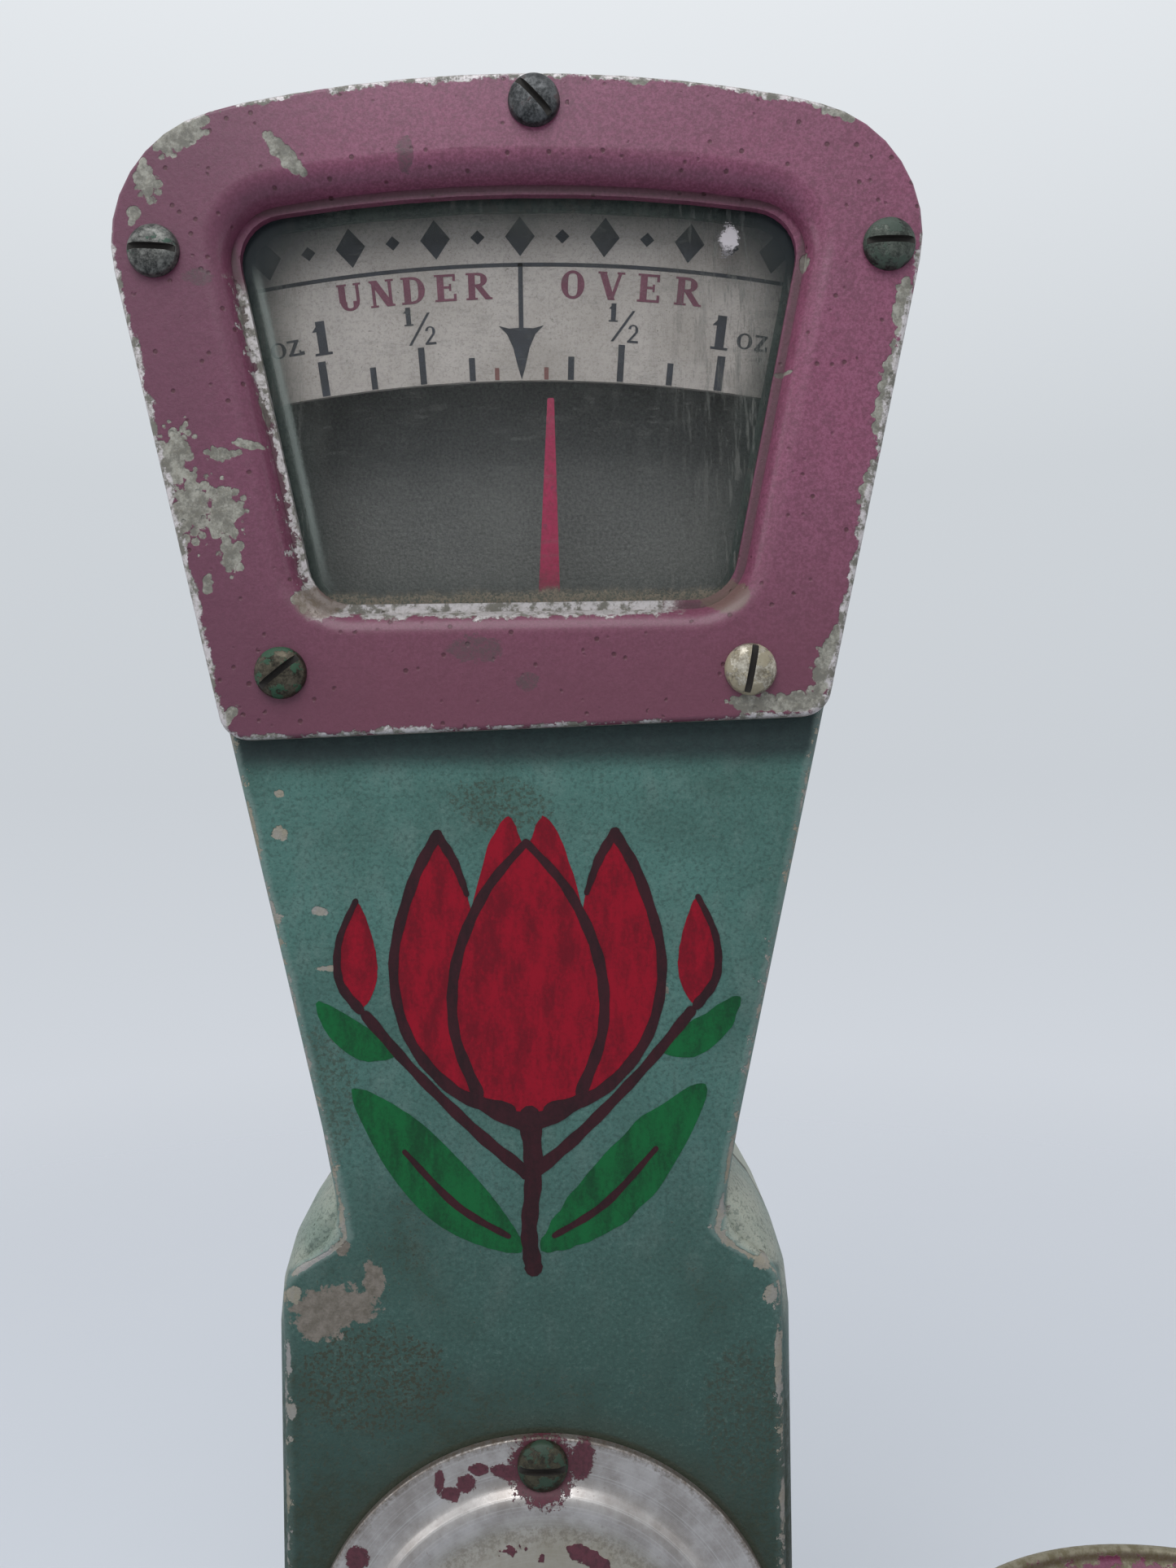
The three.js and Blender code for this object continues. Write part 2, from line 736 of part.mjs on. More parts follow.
// Rear cover: an arch-topped hood over the back of the lower body.
{
  const frontY = towerSeamY + seatGap;
  const outside = slab(humpOutline(towerFootZ), frontY - rearCoverEdge, rearCoverBackY, {
    bevelThickness: rearCoverEdge,
    bevelSize: rearCoverEdge,
    bevelOffset: -rearCoverEdge,
    bevelSegments: edgeSteps,
    curveSegments: headSteps,
  }).subtract(boxFrom(-2 * humpHalfWidth, 2 * humpHalfWidth, towerFrontY, frontY, 0, 2 * humpTop));
  const innerY = rearCoverBackY - rearCoverWall;
  const inside = slab(humpOutline(towerFootZ - overrun, rearCoverWall), frontY - overrun, innerY);
  const pillars = rearPlaces.map(({ x, z }) => (
    barAlongY(screwBossRadius, frontY, innerY + rearCoverWall / 2, x, z)));
  const drill = screwShankRadius + runGap / 2;
  const drilled = rearPlaces.map(({ x, z }) => (
    barAlongY(drill, frontY - overrun, rearCoverBackY + overrun, x, z)));
  addPiece('rear_cover', joined([outside.subtract(inside), ...pillars]).subtract(joined(drilled)), creamPaint);
  for (const { side, level, x, z } of rearPlaces) {
    const length = rearCoverBackY - towerSeamY + screwShankLength - 2 * runGap;
    const mesh = addPiece(`rear_cover_screw_${level}_${side}`, screw({ length }), darkScrew);
    mesh.position.set(x, rearCoverBackY, z);
    mesh.rotation.z = Math.PI;
  }
}

// Bezel frame: a flat border with a rolled edge that dips to a ledge round the window.
{
  const plate = slab(headOutline(bezelFootHeight, 0, bezelFootCorner, bezelFootSlope), bezelFrontY, bezelBackY, {
    bevelThickness: bezelEdge,
    bevelSize: bezelEdge,
    bevelOffset: -bezelEdge,
    bevelSegments: edgeSteps,
    curveSegments: headSteps,
  });
  const lip = slab(windowOutline(bezelRoll + bezelLedge), bezelFrontY + bezelEdge, bezelLipY, fine).intersect(
    slab(headOutline(bezelFootHeight + towerWall, towerWall + runGap), bezelFrontY, bezelLipY),
  );
  const mouth = slab(
    windowOutline(bezelRoll + bezelLedge),
    bezelFrontY,
    bezelFrontY + 4 * bezelRoll,
    { bevelThickness: bezelRoll, bevelSize: -bezelRoll, bevelSegments: edgeSteps + 2, curveSegments: headSteps },
  ).subtract(boxFrom(-headCrown, headCrown, bezelLipY - bezelLedge, headCrown, 0, headCrown));
  const opening = slab(windowOutline(), bezelFrontY - overrun, bezelLipY + overrun, fine);
  const drill = screwShankRadius + runGap;
  const drilled = bezelScrews.map(({ x, z }) => (
    barAlongY(drill, bezelFrontY - overrun, bezelLipY + overrun, x, z)));
  const openings = joined([mouth, opening, ...drilled]);
  addPiece('bezel_frame', plate.add(lip).subtract(openings), mauvePaint);
  for (const { name, x, z, slot } of bezelScrews) {
    const finish = name === 'lower_right' ? paleScrew : darkScrew;
    const mesh = addPiece(`bezel_screw_${name}`, screw(), finish);
    mesh.position.set(x, bezelFrontY, z);
    mesh.rotation.y = slot;
  }
}

// Window glass behind the bezel's ledge, and the thin frame that holds it there.
{
  const fits = slab(headOutline(bezelFootHeight + towerWall, towerWall + runGap), bezelFrontY, trayBackY);
  const clearOfScrews = joined(
    bezelScrews.map(({ x, z }) => barAlongY(bezelBossRadius + runGap, bezelFrontY, trayBackY, x, z)),
  );
  const sheet = slab(windowOutline(glassMargin), glassFrontY, glassBackY, fine)
    .intersect(fits)
    .subtract(clearOfScrews);
  addPiece('window_glass', sheet, clearGlass);
  const frame = slab(windowOutline(glassMargin), retainerFrontY, retainerFrontY + retainerThickness)
    .subtract(slab(windowOutline(-retainerReveal), glassFrontY, trayBackY, fine))
    .intersect(fits)
    .subtract(clearOfScrews);
  addPiece('glass_retainer', frame, plainSteel);
}

// Dial chart: an arc-shaped plate whose lower edge runs along the pointer's tip.
{
  const shape = new THREE.Shape();
  const from = Math.PI / 2 - chartHalfAngle;
  const to = Math.PI / 2 + chartHalfAngle;
  shape.absarc(0, pointerPivotHeight, chartOuterRadius, from, to);
  shape.absarc(0, pointerPivotHeight, chartInnerRadius, to, from, true);
  shape.closePath();
  const inTray = slab(headOutline(bezelFootHeight, towerWall + runGap), bezelFrontY, trayBackY);
  const places = [-1, 1].map((side) => ({
    side: side < 0 ? 'left' : 'right',
    x: side * chartScrewRadius * Math.sin(chartScrewAngle),
    z: pointerPivotHeight + chartScrewRadius * Math.cos(chartScrewAngle),
  }));
  const drilled = places.map(({ x, z }) => (
    barAlongY(screwShankRadius + runGap, bezelFrontY, trayBackY, x, z)));
  const clearOfBosses = bezelScrews.map(({ x, z }) =>
    barAlongY(bezelBossRadius + runGap, bezelFrontY, trayBackY, x, z));
  addPiece(
    'dial_chart',
    slab(shape, chartPlaneY, chartPlaneY + chartThickness, { curveSegments: crownSteps })
      .intersect(inTray)
      .subtract(joined([...drilled, ...clearOfBosses])),
    enamelledChart,
  );
  for (const { side, x, z } of places) {
    const head = (screwHeadRadius * (chartPlaneY - retainerFrontY - retainerThickness - seatGap)) / screwHeadHeight;
    const mesh = addPiece(`chart_screw_${side}`, screw({ head }), brass);
    mesh.position.set(x, chartPlaneY, z);
  }
}

// Access cover: a spun disc with a bead and a low dome, held by screws round its rim.
{
  const faceY = coverFaceY;
  const rim = coverSheet;
  const bead = coverBeadRadius;
  const bevel = rim * coverRimShare;
  const profile = [
    ...coverUnderShares.map(([across, up]) => [bead * across, coverDomeRise * up]),
    [bead - 2 * coverBeadRise, coverUnderRise],
    [bead - coverBeadRise, 0],
    [coverRadius, 0],
    [coverRadius, rim - bevel],
    [coverRadius - bevel, rim],
    ...coverBeadShares.map(([across, up]) => [bead + across * coverBeadRise, rim + up * coverBeadRise]),
    ...coverDomeShares.map(([across, up]) => [bead * across, rim + coverDomeRise * up]),
  ];
  const places = coverScrewPlaces();
  const drilled = places.map(({ x, z }) =>
    barAlongY(screwShankRadius + runGap, faceY - overrun, faceY + overrun, x, z));
  const disc = turnedToFront(profile, coverPlaceX, faceY, coverHeight).subtract(joined(drilled));
  addPiece('access_cover', disc, spunAluminium);
  places.forEach(({ x, z, slot }, i) => {
    const body = screw({ head: coverScrewHeadRadius, length: coverScrewLength });
    const mesh = addPiece(`access_cover_screw_${i + 1}`, body, darkScrew);
    mesh.position.set(x, faceY - rim, z);
    mesh.rotation.y = slot;
  });
}

// Base casting: a long hollow casting with a rounded deck, open underneath.
const plateLowZ = footHeight + bottomPlateRise;
const plateHighZ = plateLowZ + bottomPlateThickness;
const linkBackY = -beamThickness / 2 - linkStandoff;
const linkFrontY = linkBackY - linkThickness;
const sides = [
  { side: 'left', sign: -1 },
  { side: 'right', sign: 1 },
];
const linkPlaceAt = (z) => {
  const share = (z - fulcrumHeight) / (pointerPivotHeight - fulcrumHeight);
  return linkPinPlaceX + share * (crankRadius - linkPinPlaceX);
};
{
  const waistLength = baseHalfLength - baseFlangeWidth;
  const waistDepth = baseHalfDepth - baseFlangeWidth;
  const waistCorner = baseCorner - baseFlangeWidth;
  const flange = block(
    roundedRectangle(baseHalfLength, baseHalfDepth, baseCorner),
    footHeight,
    footHeight + baseFlangeHeight,
    fine,
  );
  const below = boxFrom(
    -baseHalfLength, baseHalfLength, -baseHalfDepth, baseHalfDepth, -baseShoulder, footHeight,
  );
  const hull = block(roundedRectangle(waistLength, waistDepth, waistCorner), footHeight - baseShoulder, deckTop, {
    bevelThickness: baseShoulder,
    bevelSize: baseShoulder,
    bevelOffset: -baseShoulder,
    bevelSegments: edgeSteps + 1,
    curveSegments: headSteps,
  }).subtract(below);
  const shoulder = baseShoulder - baseWall;
  const inside = block(
    roundedRectangle(waistLength - baseWall, waistDepth - baseWall, waistCorner - baseWall),
    footHeight - 2 * shoulder,
    deckUnder,
    {
      bevelThickness: shoulder,
      bevelSize: shoulder,
      bevelOffset: -shoulder,
      bevelSegments: edgeSteps,
      curveSegments: headSteps,
    },
  );
  const bossTopZ = deckTop - deckThickness / 2;
  const bosses = [-1, 1].flatMap((signX) => [-1, 1].map((signY) =>
    barUp(cornerBossRadius, plateHighZ + seatGap, bossTopZ, signX * footPlaceX, signY * footPlaceY)));
  const slotX = linkPlaceAt(deckTop - deckThickness / 2);
  const slotY = (linkFrontY + linkBackY) / 2;
  const slot = boxFrom(
    slotX - deckSlotHalfLength,
    slotX + deckSlotHalfLength,
    slotY - deckSlotHalfWidth,
    slotY + deckSlotHalfWidth,
    deckUnder - overrun,
    deckTop + overrun,
  );
  const stemHoles = sides.map(({ sign }) => (
    barUp(collarBore, deckUnder - overrun, deckTop + overrun, sign * armLength, 0, roundSteps / 2)));
  const screwHoles = towerScrewPlaces.map(({ x, y }) =>
    barUp(screwShankRadius + runGap / 2, deckUnder - overrun, deckTop + overrun, x, y));
  addPiece(
    'base_casting',
    joined([flange.add(hull).subtract(inside), ...bosses]).subtract(joined([slot, ...stemHoles, ...screwHoles])),
    sagePaint,
  );
  const plateEdge = baseFlangeWidth + baseWall + runGap;
  addPiece(
    'bottom_plate',
    block(
      roundedRectangle(baseHalfLength - plateEdge, baseHalfDepth - plateEdge, baseCorner - plateEdge),
      plateLowZ,
      plateHighZ,
      fine,
    ),
    plainSteel,
  );
}

// Rubber feet under the corner bosses
for (const { side, sign } of sides) {
  for (const [row, signY] of [['front', -1], ['rear', 1]]) {
    const profile = [
      [0, 0],
      [footRadius * footSoleShare, 0],
      [footRadius, footHeight * footChamferShare],
      [footRadius, plateLowZ - seatGap],
      [0, plateLowZ - seatGap],
    ];
    const foot = turnedUp(profile, sign * footPlaceX, signY * footPlaceY, 2 * smallSteps);
    addPiece(`foot_${row}_${side}`, foot, blackRubber);
  }
}

// A knife edge's section, its edge at x and z and its body below or above it.
function knifeSection(x, z, bodyUp, margin = 0) {
  const shape = new THREE.Shape();
  shape.moveTo(x, z - bodyUp * 2 * margin);
  shape.lineTo(x + knifeHalfWidth + 2 * margin, z + bodyUp * (knifeDepth + margin));
  shape.lineTo(x - knifeHalfWidth - 2 * margin, z + bodyUp * (knifeDepth + margin));
  shape.closePath();
  return shape;
}

// The V-shaped seat that a knife edge rests in, cut through a cheek.
function knifeSeat(x, z, bodyUp, frontY, backY) {
  const shape = new THREE.Shape();
  const tip = z - bodyUp * runGap;
  shape.moveTo(x, tip);
  shape.lineTo(x + knifeSeatHalfWidth, tip + bodyUp * knifeSeatHalfWidth);
  shape.lineTo(x + knifeSeatHalfWidth, tip + bodyUp * knifeSeatDepth);
  shape.lineTo(x - knifeSeatHalfWidth, tip + bodyUp * knifeSeatDepth);
  shape.lineTo(x - knifeSeatHalfWidth, tip + bodyUp * knifeSeatHalfWidth);
  shape.closePath();
  return slab(shape, frontY, backY);
}

// Fulcrum stand: two cheeks hanging from the deck, with knife seats above and pin holes below.
const standInnerY = beamThickness / 2 + standClearance;
const standOuterY = standInnerY + standCheek;
{
  const lowZ = checkHeight - standBelowCheck;
  const topZ = deckUnder - seatGap;
  const cheeks = slab(
    roundedPath([
      { x: -standHalfWidth, z: topZ },
      { x: -standHalfWidth, z: fulcrumHeight - beamHalfHeight, r: standBelowCheck },
      { x: -standBelowCheck, z: lowZ, r: standBelowCheck / 2 },
      { x: standBelowCheck, z: lowZ, r: standBelowCheck / 2 },
      { x: standHalfWidth, z: fulcrumHeight - beamHalfHeight, r: standBelowCheck },
      { x: standHalfWidth, z: topZ },
    ]),
    -standOuterY,
    standOuterY,
  );
  const foot = boxFrom(
    -standHalfWidth,
    standHalfWidth,
    -standOuterY - standFootWidth,
    standOuterY + standFootWidth,
    topZ - standTopThickness,
    topZ,
  );
  const gap = boxFrom(-armLength, armLength, -standInnerY, standInnerY, 0, topZ - standTopThickness);
  const seats = knifeSeat(0, fulcrumHeight, 1, -armLength, armLength);
  const pinHole = barAlongY(pinRadius + runGap / 2, -armLength, armLength, 0, checkHeight);
  addPiece('fulcrum_stand', cheeks.add(foot).subtract(gap).subtract(seats).subtract(pinHole), castIron);
  addPiece(
    'fulcrum_knife',
    slab(knifeSection(0, fulcrumHeight, 1), -standOuterY - knifeOverhang, standOuterY + knifeOverhang),
    plainSteel,
  );
}

// Beam: a tapered bar with ribbed windows, the damper arm, the balance rod and the weight's rod.
const beamHalfHeightAt = (x) => {
  const share = (Math.abs(x) - beamHubHalfWidth) / (armLength + beamEndLength - beamHubHalfWidth);
  return beamHalfHeight - Math.max(share, 0) * (beamHalfHeight - beamEndHalfHeight);
};
const carrierInnerY = beamThickness / 2 + carrierClearance;
const carrierOuterY = carrierInnerY + carrierCheek;
const poiseZ = fulcrumHeight + poiseRodRise;
const bobLowZ = fulcrumHeight - bobDrop - bobHeight;
{
  const end = armLength + beamEndLength;
  const edge = [
    { x: end, z: beamEndHalfHeight, r: beamEndHalfHeight / 2 },
    { x: beamHubHalfWidth, z: beamHalfHeight },
    { x: -beamHubHalfWidth, z: beamHalfHeight },
    { x: -end, z: beamEndHalfHeight, r: beamEndHalfHeight / 2 },
  ];
  const outline = [...edge, ...edge.map(({ x, z, r }) => ({ x: -x, z: -z, r }))].map((p) => ({
    ...p,
    z: p.z + fulcrumHeight,
  }));
  const bar = slab(roundedPath(outline), -beamThickness / 2, beamThickness / 2);
  const windows = sides.flatMap(({ sign }) =>
    Array.from({ length: beamWindows }, (_, i) => {
      const near = beamWindowStartX + i * beamWindowPitch;
      const far = near + beamWindowPitch - beamRim;
      const corner = (x, up) => ({
        x: sign * x,
        z: fulcrumHeight + up * (beamHalfHeightAt(x) - beamRim),
        r: beamRim / 2,
      });
      return slab(
        roundedPath([corner(near, -1), corner(far, -1), corner(far, 1), corner(near, 1)]),
        -beamThickness,
        beamThickness,
      );
    }),
  );
  const knifeHoles = [
    slab(knifeSection(0, fulcrumHeight, 1, seatGap), -beamThickness, beamThickness),
    ...sides.map(({ sign }) =>
      slab(knifeSection(sign * armLength, fulcrumHeight, -1, seatGap), -beamThickness, beamThickness)),
  ];
  const stud = barAlongY(beamStudRadius, linkFrontY - runGap, 0, linkPinPlaceX, fulcrumHeight);
  const armEndY = dashpotPlaceY - damperEyeWidth / 2 - runGap;
  const damperArm = boxFrom(
    dashpotPlaceX - damperArmWidth / 2,
    dashpotPlaceX + damperArmWidth / 2,
    0,
    armEndY,
    fulcrumHeight - damperArmThickness / 2,
    fulcrumHeight + damperArmThickness / 2,
  );
  const damperPinEnd = dashpotPlaceY + damperEyeWidth / 2 + pinOverhang;
  const damperPin = barAlongY(pinRadius, 0, damperPinEnd, dashpotPlaceX, fulcrumHeight);
  const postReach = poiseTravel + poiseNutLength / 2 + runGap;
  const posts = [-1, 1].map((sign) => {
    const near = poisePlaceX + sign * postReach;
    const far = near + sign * poisePostWidth;
    return boxFrom(
      Math.min(near, far),
      Math.max(near, far),
      -poisePostWidth / 2,
      poisePostWidth / 2,
      fulcrumHeight + beamEndHalfHeight - beamRim / 2,
      poiseZ + poiseRodRadius + beamRim / 4,
    );
  });
  const rodLength = 2 * postReach + poisePostWidth;
  const rod = new THREE.CylinderGeometry(poiseRodRadius, poiseRodRadius, rodLength, smallSteps);
  rod.rotateZ(Math.PI / 2);
  rod.translate(poisePlaceX, 0, poiseZ);
  const bobRod = barUp(bobRodRadius, bobLowZ - runGap, fulcrumHeight - beamHalfHeight + beamRim, 0, 0);
  const cut = joined([...windows, ...knifeHoles]);
  addPiece(
    'beam',
    joined([bar.subtract(cut), stud, damperArm, damperPin, ...posts, solid(rod), bobRod]),
    castIron,
  );
  const knifeReach = carrierOuterY + knifeOverhang;
  for (const { side, sign } of sides) {
    const section = knifeSection(sign * armLength, fulcrumHeight, -1);
    addPiece(`end_knife_${side}`, slab(section, -knifeReach, knifeReach), plainSteel);
  }
}

// Balance nut on the beam's rod
{
  const bore = poiseRodRadius + runGap / 2;
  const half = poiseNutLength / 2;
  const chamfer = poiseNutRadius / 6;
  const profile = [
    [bore, -half],
    [poiseNutRadius - chamfer, -half],
    [poiseNutRadius, -half + chamfer],
    [poiseNutRadius, half - chamfer],
    [poiseNutRadius - chamfer, half],
    [bore, half],
    [bore, -half],
  ];
  const nut = addPiece('balance_nut', turnedUp(profile, 0, 0, smallSteps), brass);
  nut.position.set(poisePlaceX, 0, poiseZ);
  nut.rotation.y = Math.PI / 2;
}

// Sensitivity weight on its rod under the fulcrum
{
  const bore = bobRodRadius + runGap / 2;
  const profile = [
    [bore, bobLowZ],
    [bobRadius, bobLowZ],
    [bobRadius, bobLowZ + bobHeight],
    [bore, bobLowZ + bobHeight],
    [bore, bobLowZ],
  ];
  addPiece('sensitivity_weight', turnedUp(profile, 0, 0, smallSteps), brass);
}

// Stop screws under the deck that end the beam's swing
for (const { side, sign } of sides) {
  const top = fulcrumHeight + beamHalfHeightAt(stopPlaceX) + stopPlaceX * Math.sin(rock) + runGap;
  const body = barUp(stopRadius, top, deckUnder - seatGap, sign * stopPlaceX, 0);
  addPiece(`stop_screw_${side}`, body, plainSteel);
}

// Check link below the beam, and the three pins it turns on
{
  const side = checkThickness / 2;
  const lowZ = checkHeight - checkHalfHeight;
  const highZ = checkHeight + checkHalfHeight;
  const bar = boxFrom(-armLength, armLength, -side, side, lowZ, highZ);
  const places = [-armLength, 0, armLength];
  const eyes = places.map((x) => barAlongY(checkEyeRadius, -side, side, x, checkHeight));
  const holes = places.map((x) =>
    barAlongY(pinRadius + (x ? linkEyeClearance : runGap), -checkThickness, checkThickness, x, checkHeight));
  addPiece('check_link', joined([bar, ...eyes]).subtract(joined(holes)), castIron);
  addPiece(
    'check_pin_centre',
    barAlongY(pinRadius, -standOuterY - pinOverhang, standOuterY + pinOverhang, 0, checkHeight),
    plainSteel,
  );
  for (const { side, sign } of sides) {
    const reach = carrierOuterY + pinOverhang;
    const pin = barAlongY(pinRadius, -reach, reach, sign * armLength, checkHeight);
    addPiece(`check_pin_${side}`, pin, plainSteel);
  }
}

// Pan carriers: a fork over each beam end, with a stem up through the deck.
for (const { side, sign } of sides) {
  const x = sign * armLength;
  const bridgeLow = fulcrumHeight + beamEndHalfHeight + carrierHeadroom;
  const bridgeHigh = bridgeLow + carrierBridgeThickness;
  const lowZ = checkHeight - carrierBelowCheck;
  const fork = slab(
    roundedPath([
      { x: x - carrierHalfWidth, z: lowZ, r: carrierBelowCheck / 2 },
      { x: x + carrierHalfWidth, z: lowZ, r: carrierBelowCheck / 2 },
      { x: x + carrierHalfWidth, z: bridgeHigh, r: carrierBridgeThickness / 2 },
      { x: x - carrierHalfWidth, z: bridgeHigh, r: carrierBridgeThickness / 2 },
    ]),
    -carrierOuterY,
    carrierOuterY,
  );
  const gap = boxFrom(x - armLength, x + armLength, -carrierInnerY, carrierInnerY, 0, bridgeLow);
  const seat = knifeSeat(x, fulcrumHeight, -1, -armLength, armLength);
  const pinHole = barAlongY(pinRadius + runGap / 2, -armLength, armLength, x, checkHeight);
  const stem = barUp(stemRadius, bridgeLow, stemTop, x, 0, 2 * smallSteps);
  addPiece(`pan_carrier_${side}`, fork.subtract(gap).subtract(seat).subtract(pinHole).add(stem), castIron);

  const collar = [
    [collarBore, deckTop + seatGap],
    [collarRadius, deckTop + seatGap],
    [collarRadius, deckTop + collarHeight - collarHeight * collarChamferShare],
    [collarRadius - collarHeight * collarChamferShare, deckTop + collarHeight],
    [collarBore, deckTop + collarHeight],
    [collarBore, deckTop + seatGap],
  ];
  addPiece(`stem_collar_${side}`, turnedUp(collar, x, 0, 2 * smallSteps), brass);

  const lowSupport = supportTop - supportThickness;
  const hub = barUp(supportHubRadius, lowSupport - supportHubDrop, supportTop, x, 0, 2 * smallSteps);
  const half = supportArmWidth / 2;
  const arms = [
    boxFrom(x - supportArm, x + supportArm, -half, half, lowSupport, supportTop),
    boxFrom(x - half, x + half, -supportArm, supportArm, lowSupport, supportTop),
  ];
  const socket = barUp(stemRadius + runGap / 2, 0, stemTop + seatGap, x, 0, 2 * smallSteps);
  addPiece(`pan_support_${side}`, joined([hub, ...arms]).subtract(socket), castIron);
}

// Goods pan: a round pressed dish with a rolled rim.
{
  const floorZ = supportTop + seatGap;
  const rimR = panRadius - panBeadRadius;
  const beadZ = panRim - panBeadRadius;
  const [wideShare, slopeShare] = panSlopeShares;
  const slopeZ = floorZ + (panRim - floorZ) * slopeShare;
  const wideR = panFloorRadius + (rimR - panFloorRadius) * wideShare;
  const profile = [
    [0, floorZ],
    [panFloorRadius, floorZ],
    [wideR, slopeZ],
    [rimR, beadZ - panBeadRadius],
    ...panRimShares.map(([across, up]) => [rimR + panBeadRadius * across, beadZ + panBeadRadius * up]),
    [rimR - panSheet, beadZ],
    [wideR - panSheet / 2, slopeZ + panSheet],
    [panFloorRadius, floorZ + panSheet],
    [0, floorZ + panSheet],
  ];
  addPiece('goods_pan', turnedUp(profile, armLength, 0), mauvePaint);
}

// Weight plate: a flat round plate with a low rim.
{
  const lowZ = supportTop + seatGap;
  const highZ = lowZ + plateThickness;
  const profile = [
    [0, lowZ],
    [plateRadius - plateRimWidth / 2, lowZ],
    [plateRadius, lowZ + plateThickness / 2],
    [plateRadius, highZ + plateRimRise],
    [plateRadius - plateRimWidth * plateRimTopShare, highZ + plateRimRise],
    [plateRadius - plateRimWidth, highZ],
    [0, highZ],
  ];
  addPiece('weight_plate', turnedUp(profile, -armLength, 0), sagePaint);
}

// Pointer on its own axle, with the crank that the connecting link turns.
{
  const pivot = new THREE.Group();
  pivot.position.set(0, 0, pointerPivotHeight);
  scale.add(pivot);
  const bladeFrontY = chartPlaneY;
  const bladeBackY = bladeFrontY + pointerThickness;
  const crankFrontY = bladeBackY + seatGap;
  const crankBackY = crankFrontY + crankThickness;
  const bearingFrontY = linkBackY + bearingStandoff;
  const bearingBackY = bearingFrontY + bearingLength;

  const tip = pointerTipRadius;
  const shoulder = tip - pointerTaperLength;
  const blade = slab(
    roundedPath([
      { x: -pointerTipHalfWidth, z: tip, r: pointerTipHalfWidth / 2 },
      { x: -pointerShoulderHalfWidth, z: shoulder },
      { x: -pointerShoulderHalfWidth, z: 0 },
      { x: pointerShoulderHalfWidth, z: 0 },
      { x: pointerShoulderHalfWidth, z: shoulder },
      { x: pointerTipHalfWidth, z: tip, r: pointerTipHalfWidth / 2 },
    ]),
    bladeFrontY,
    bladeBackY,
  ).add(barAlongY(hubRadius, bladeFrontY, bladeBackY, 0, 0, 2 * smallSteps));
  const bore = barAlongY(axleRadius + seatGap, -armLength, armLength, 0, 0);
  const pointer = addPiece('pointer', blade.subtract(bore), pointerRed, pivot);
  pointer.rotation.y = pointerReading;

  const crank = joined([
    barAlongY(hubRadius, crankFrontY, crankBackY, 0, 0, 2 * smallSteps),
    boxFrom(0, crankRadius, crankFrontY, crankBackY, -crankHalfWidth, crankHalfWidth),
    barAlongY(crankHalfWidth, crankFrontY, crankBackY, crankRadius, 0),
    barAlongY(beamStudRadius, crankFrontY, linkBackY + runGap, crankRadius, 0),
  ]).subtract(bore);
  addPiece('pointer_crank', crank, brass, pivot);

  const axle = joined([
    barAlongY(axleRadius, bladeFrontY - runGap, bearingBackY + runGap + axleCollarLength, 0, 0),
    barAlongY(axleCollarRadius, bearingBackY + runGap, bearingBackY + runGap + axleCollarLength, 0, 0),
  ]);
  addPiece('pointer_axle', axle, plainSteel, pivot);

  const footZ = towerFootZ - pointerPivotHeight;
  const plateY = bearingBackY - bracketThickness;
  const bracket = joined([
    barAlongY(bearingRadius, bearingFrontY, bearingBackY, 0, 0, 2 * smallSteps),
    slab(
      roundedPath([
        { x: -bracketHalfWidth, z: footZ },
        { x: bracketHalfWidth, z: footZ },
        { x: bearingRadius, z: bearingRadius, r: bearingRadius / 2 },
        { x: -bearingRadius, z: bearingRadius, r: bearingRadius / 2 },
      ]),
      plateY,
      bearingBackY,
    ),
    boxFrom(-bracketHalfWidth, bracketHalfWidth, plateY, bearingBackY + bracketFootDepth, footZ, footZ + bracketThickness),
  ]);
  addPiece(
    'pointer_bracket',
    bracket.subtract(barAlongY(axleRadius + runGap / 2, -armLength, armLength, 0, 0)),
    castIron,
    pivot,
  );
}

// Connecting link from the beam's stud up to the pointer's crank
{
  const low = new THREE.Vector2(linkPinPlaceX, fulcrumHeight);
  const high = new THREE.Vector2(crankRadius, pointerPivotHeight);
  const along = high.clone().sub(low).normalize().multiplyScalar(linkHalfWidth);
  const strip = slab(
    [
      new THREE.Vector2(low.x + along.y, low.y - along.x),
      new THREE.Vector2(high.x + along.y, high.y - along.x),
      new THREE.Vector2(high.x - along.y, high.y + along.x),
      new THREE.Vector2(low.x - along.y, low.y + along.x),
    ],
    linkFrontY,
    linkBackY,
  );
  const eyes = [low, high].map((p) => barAlongY(linkEyeRadius, linkFrontY, linkBackY, p.x, p.y, 2 * smallSteps));
  const holes = [
    barAlongY(beamStudRadius + runGap, -armLength, armLength, low.x, low.y),
    barAlongY(beamStudRadius + linkEyeClearance, -armLength, armLength, high.x, high.y),
  ];
  addPiece('connecting_link', joined([strip, ...eyes]).subtract(joined(holes)), brass);
}

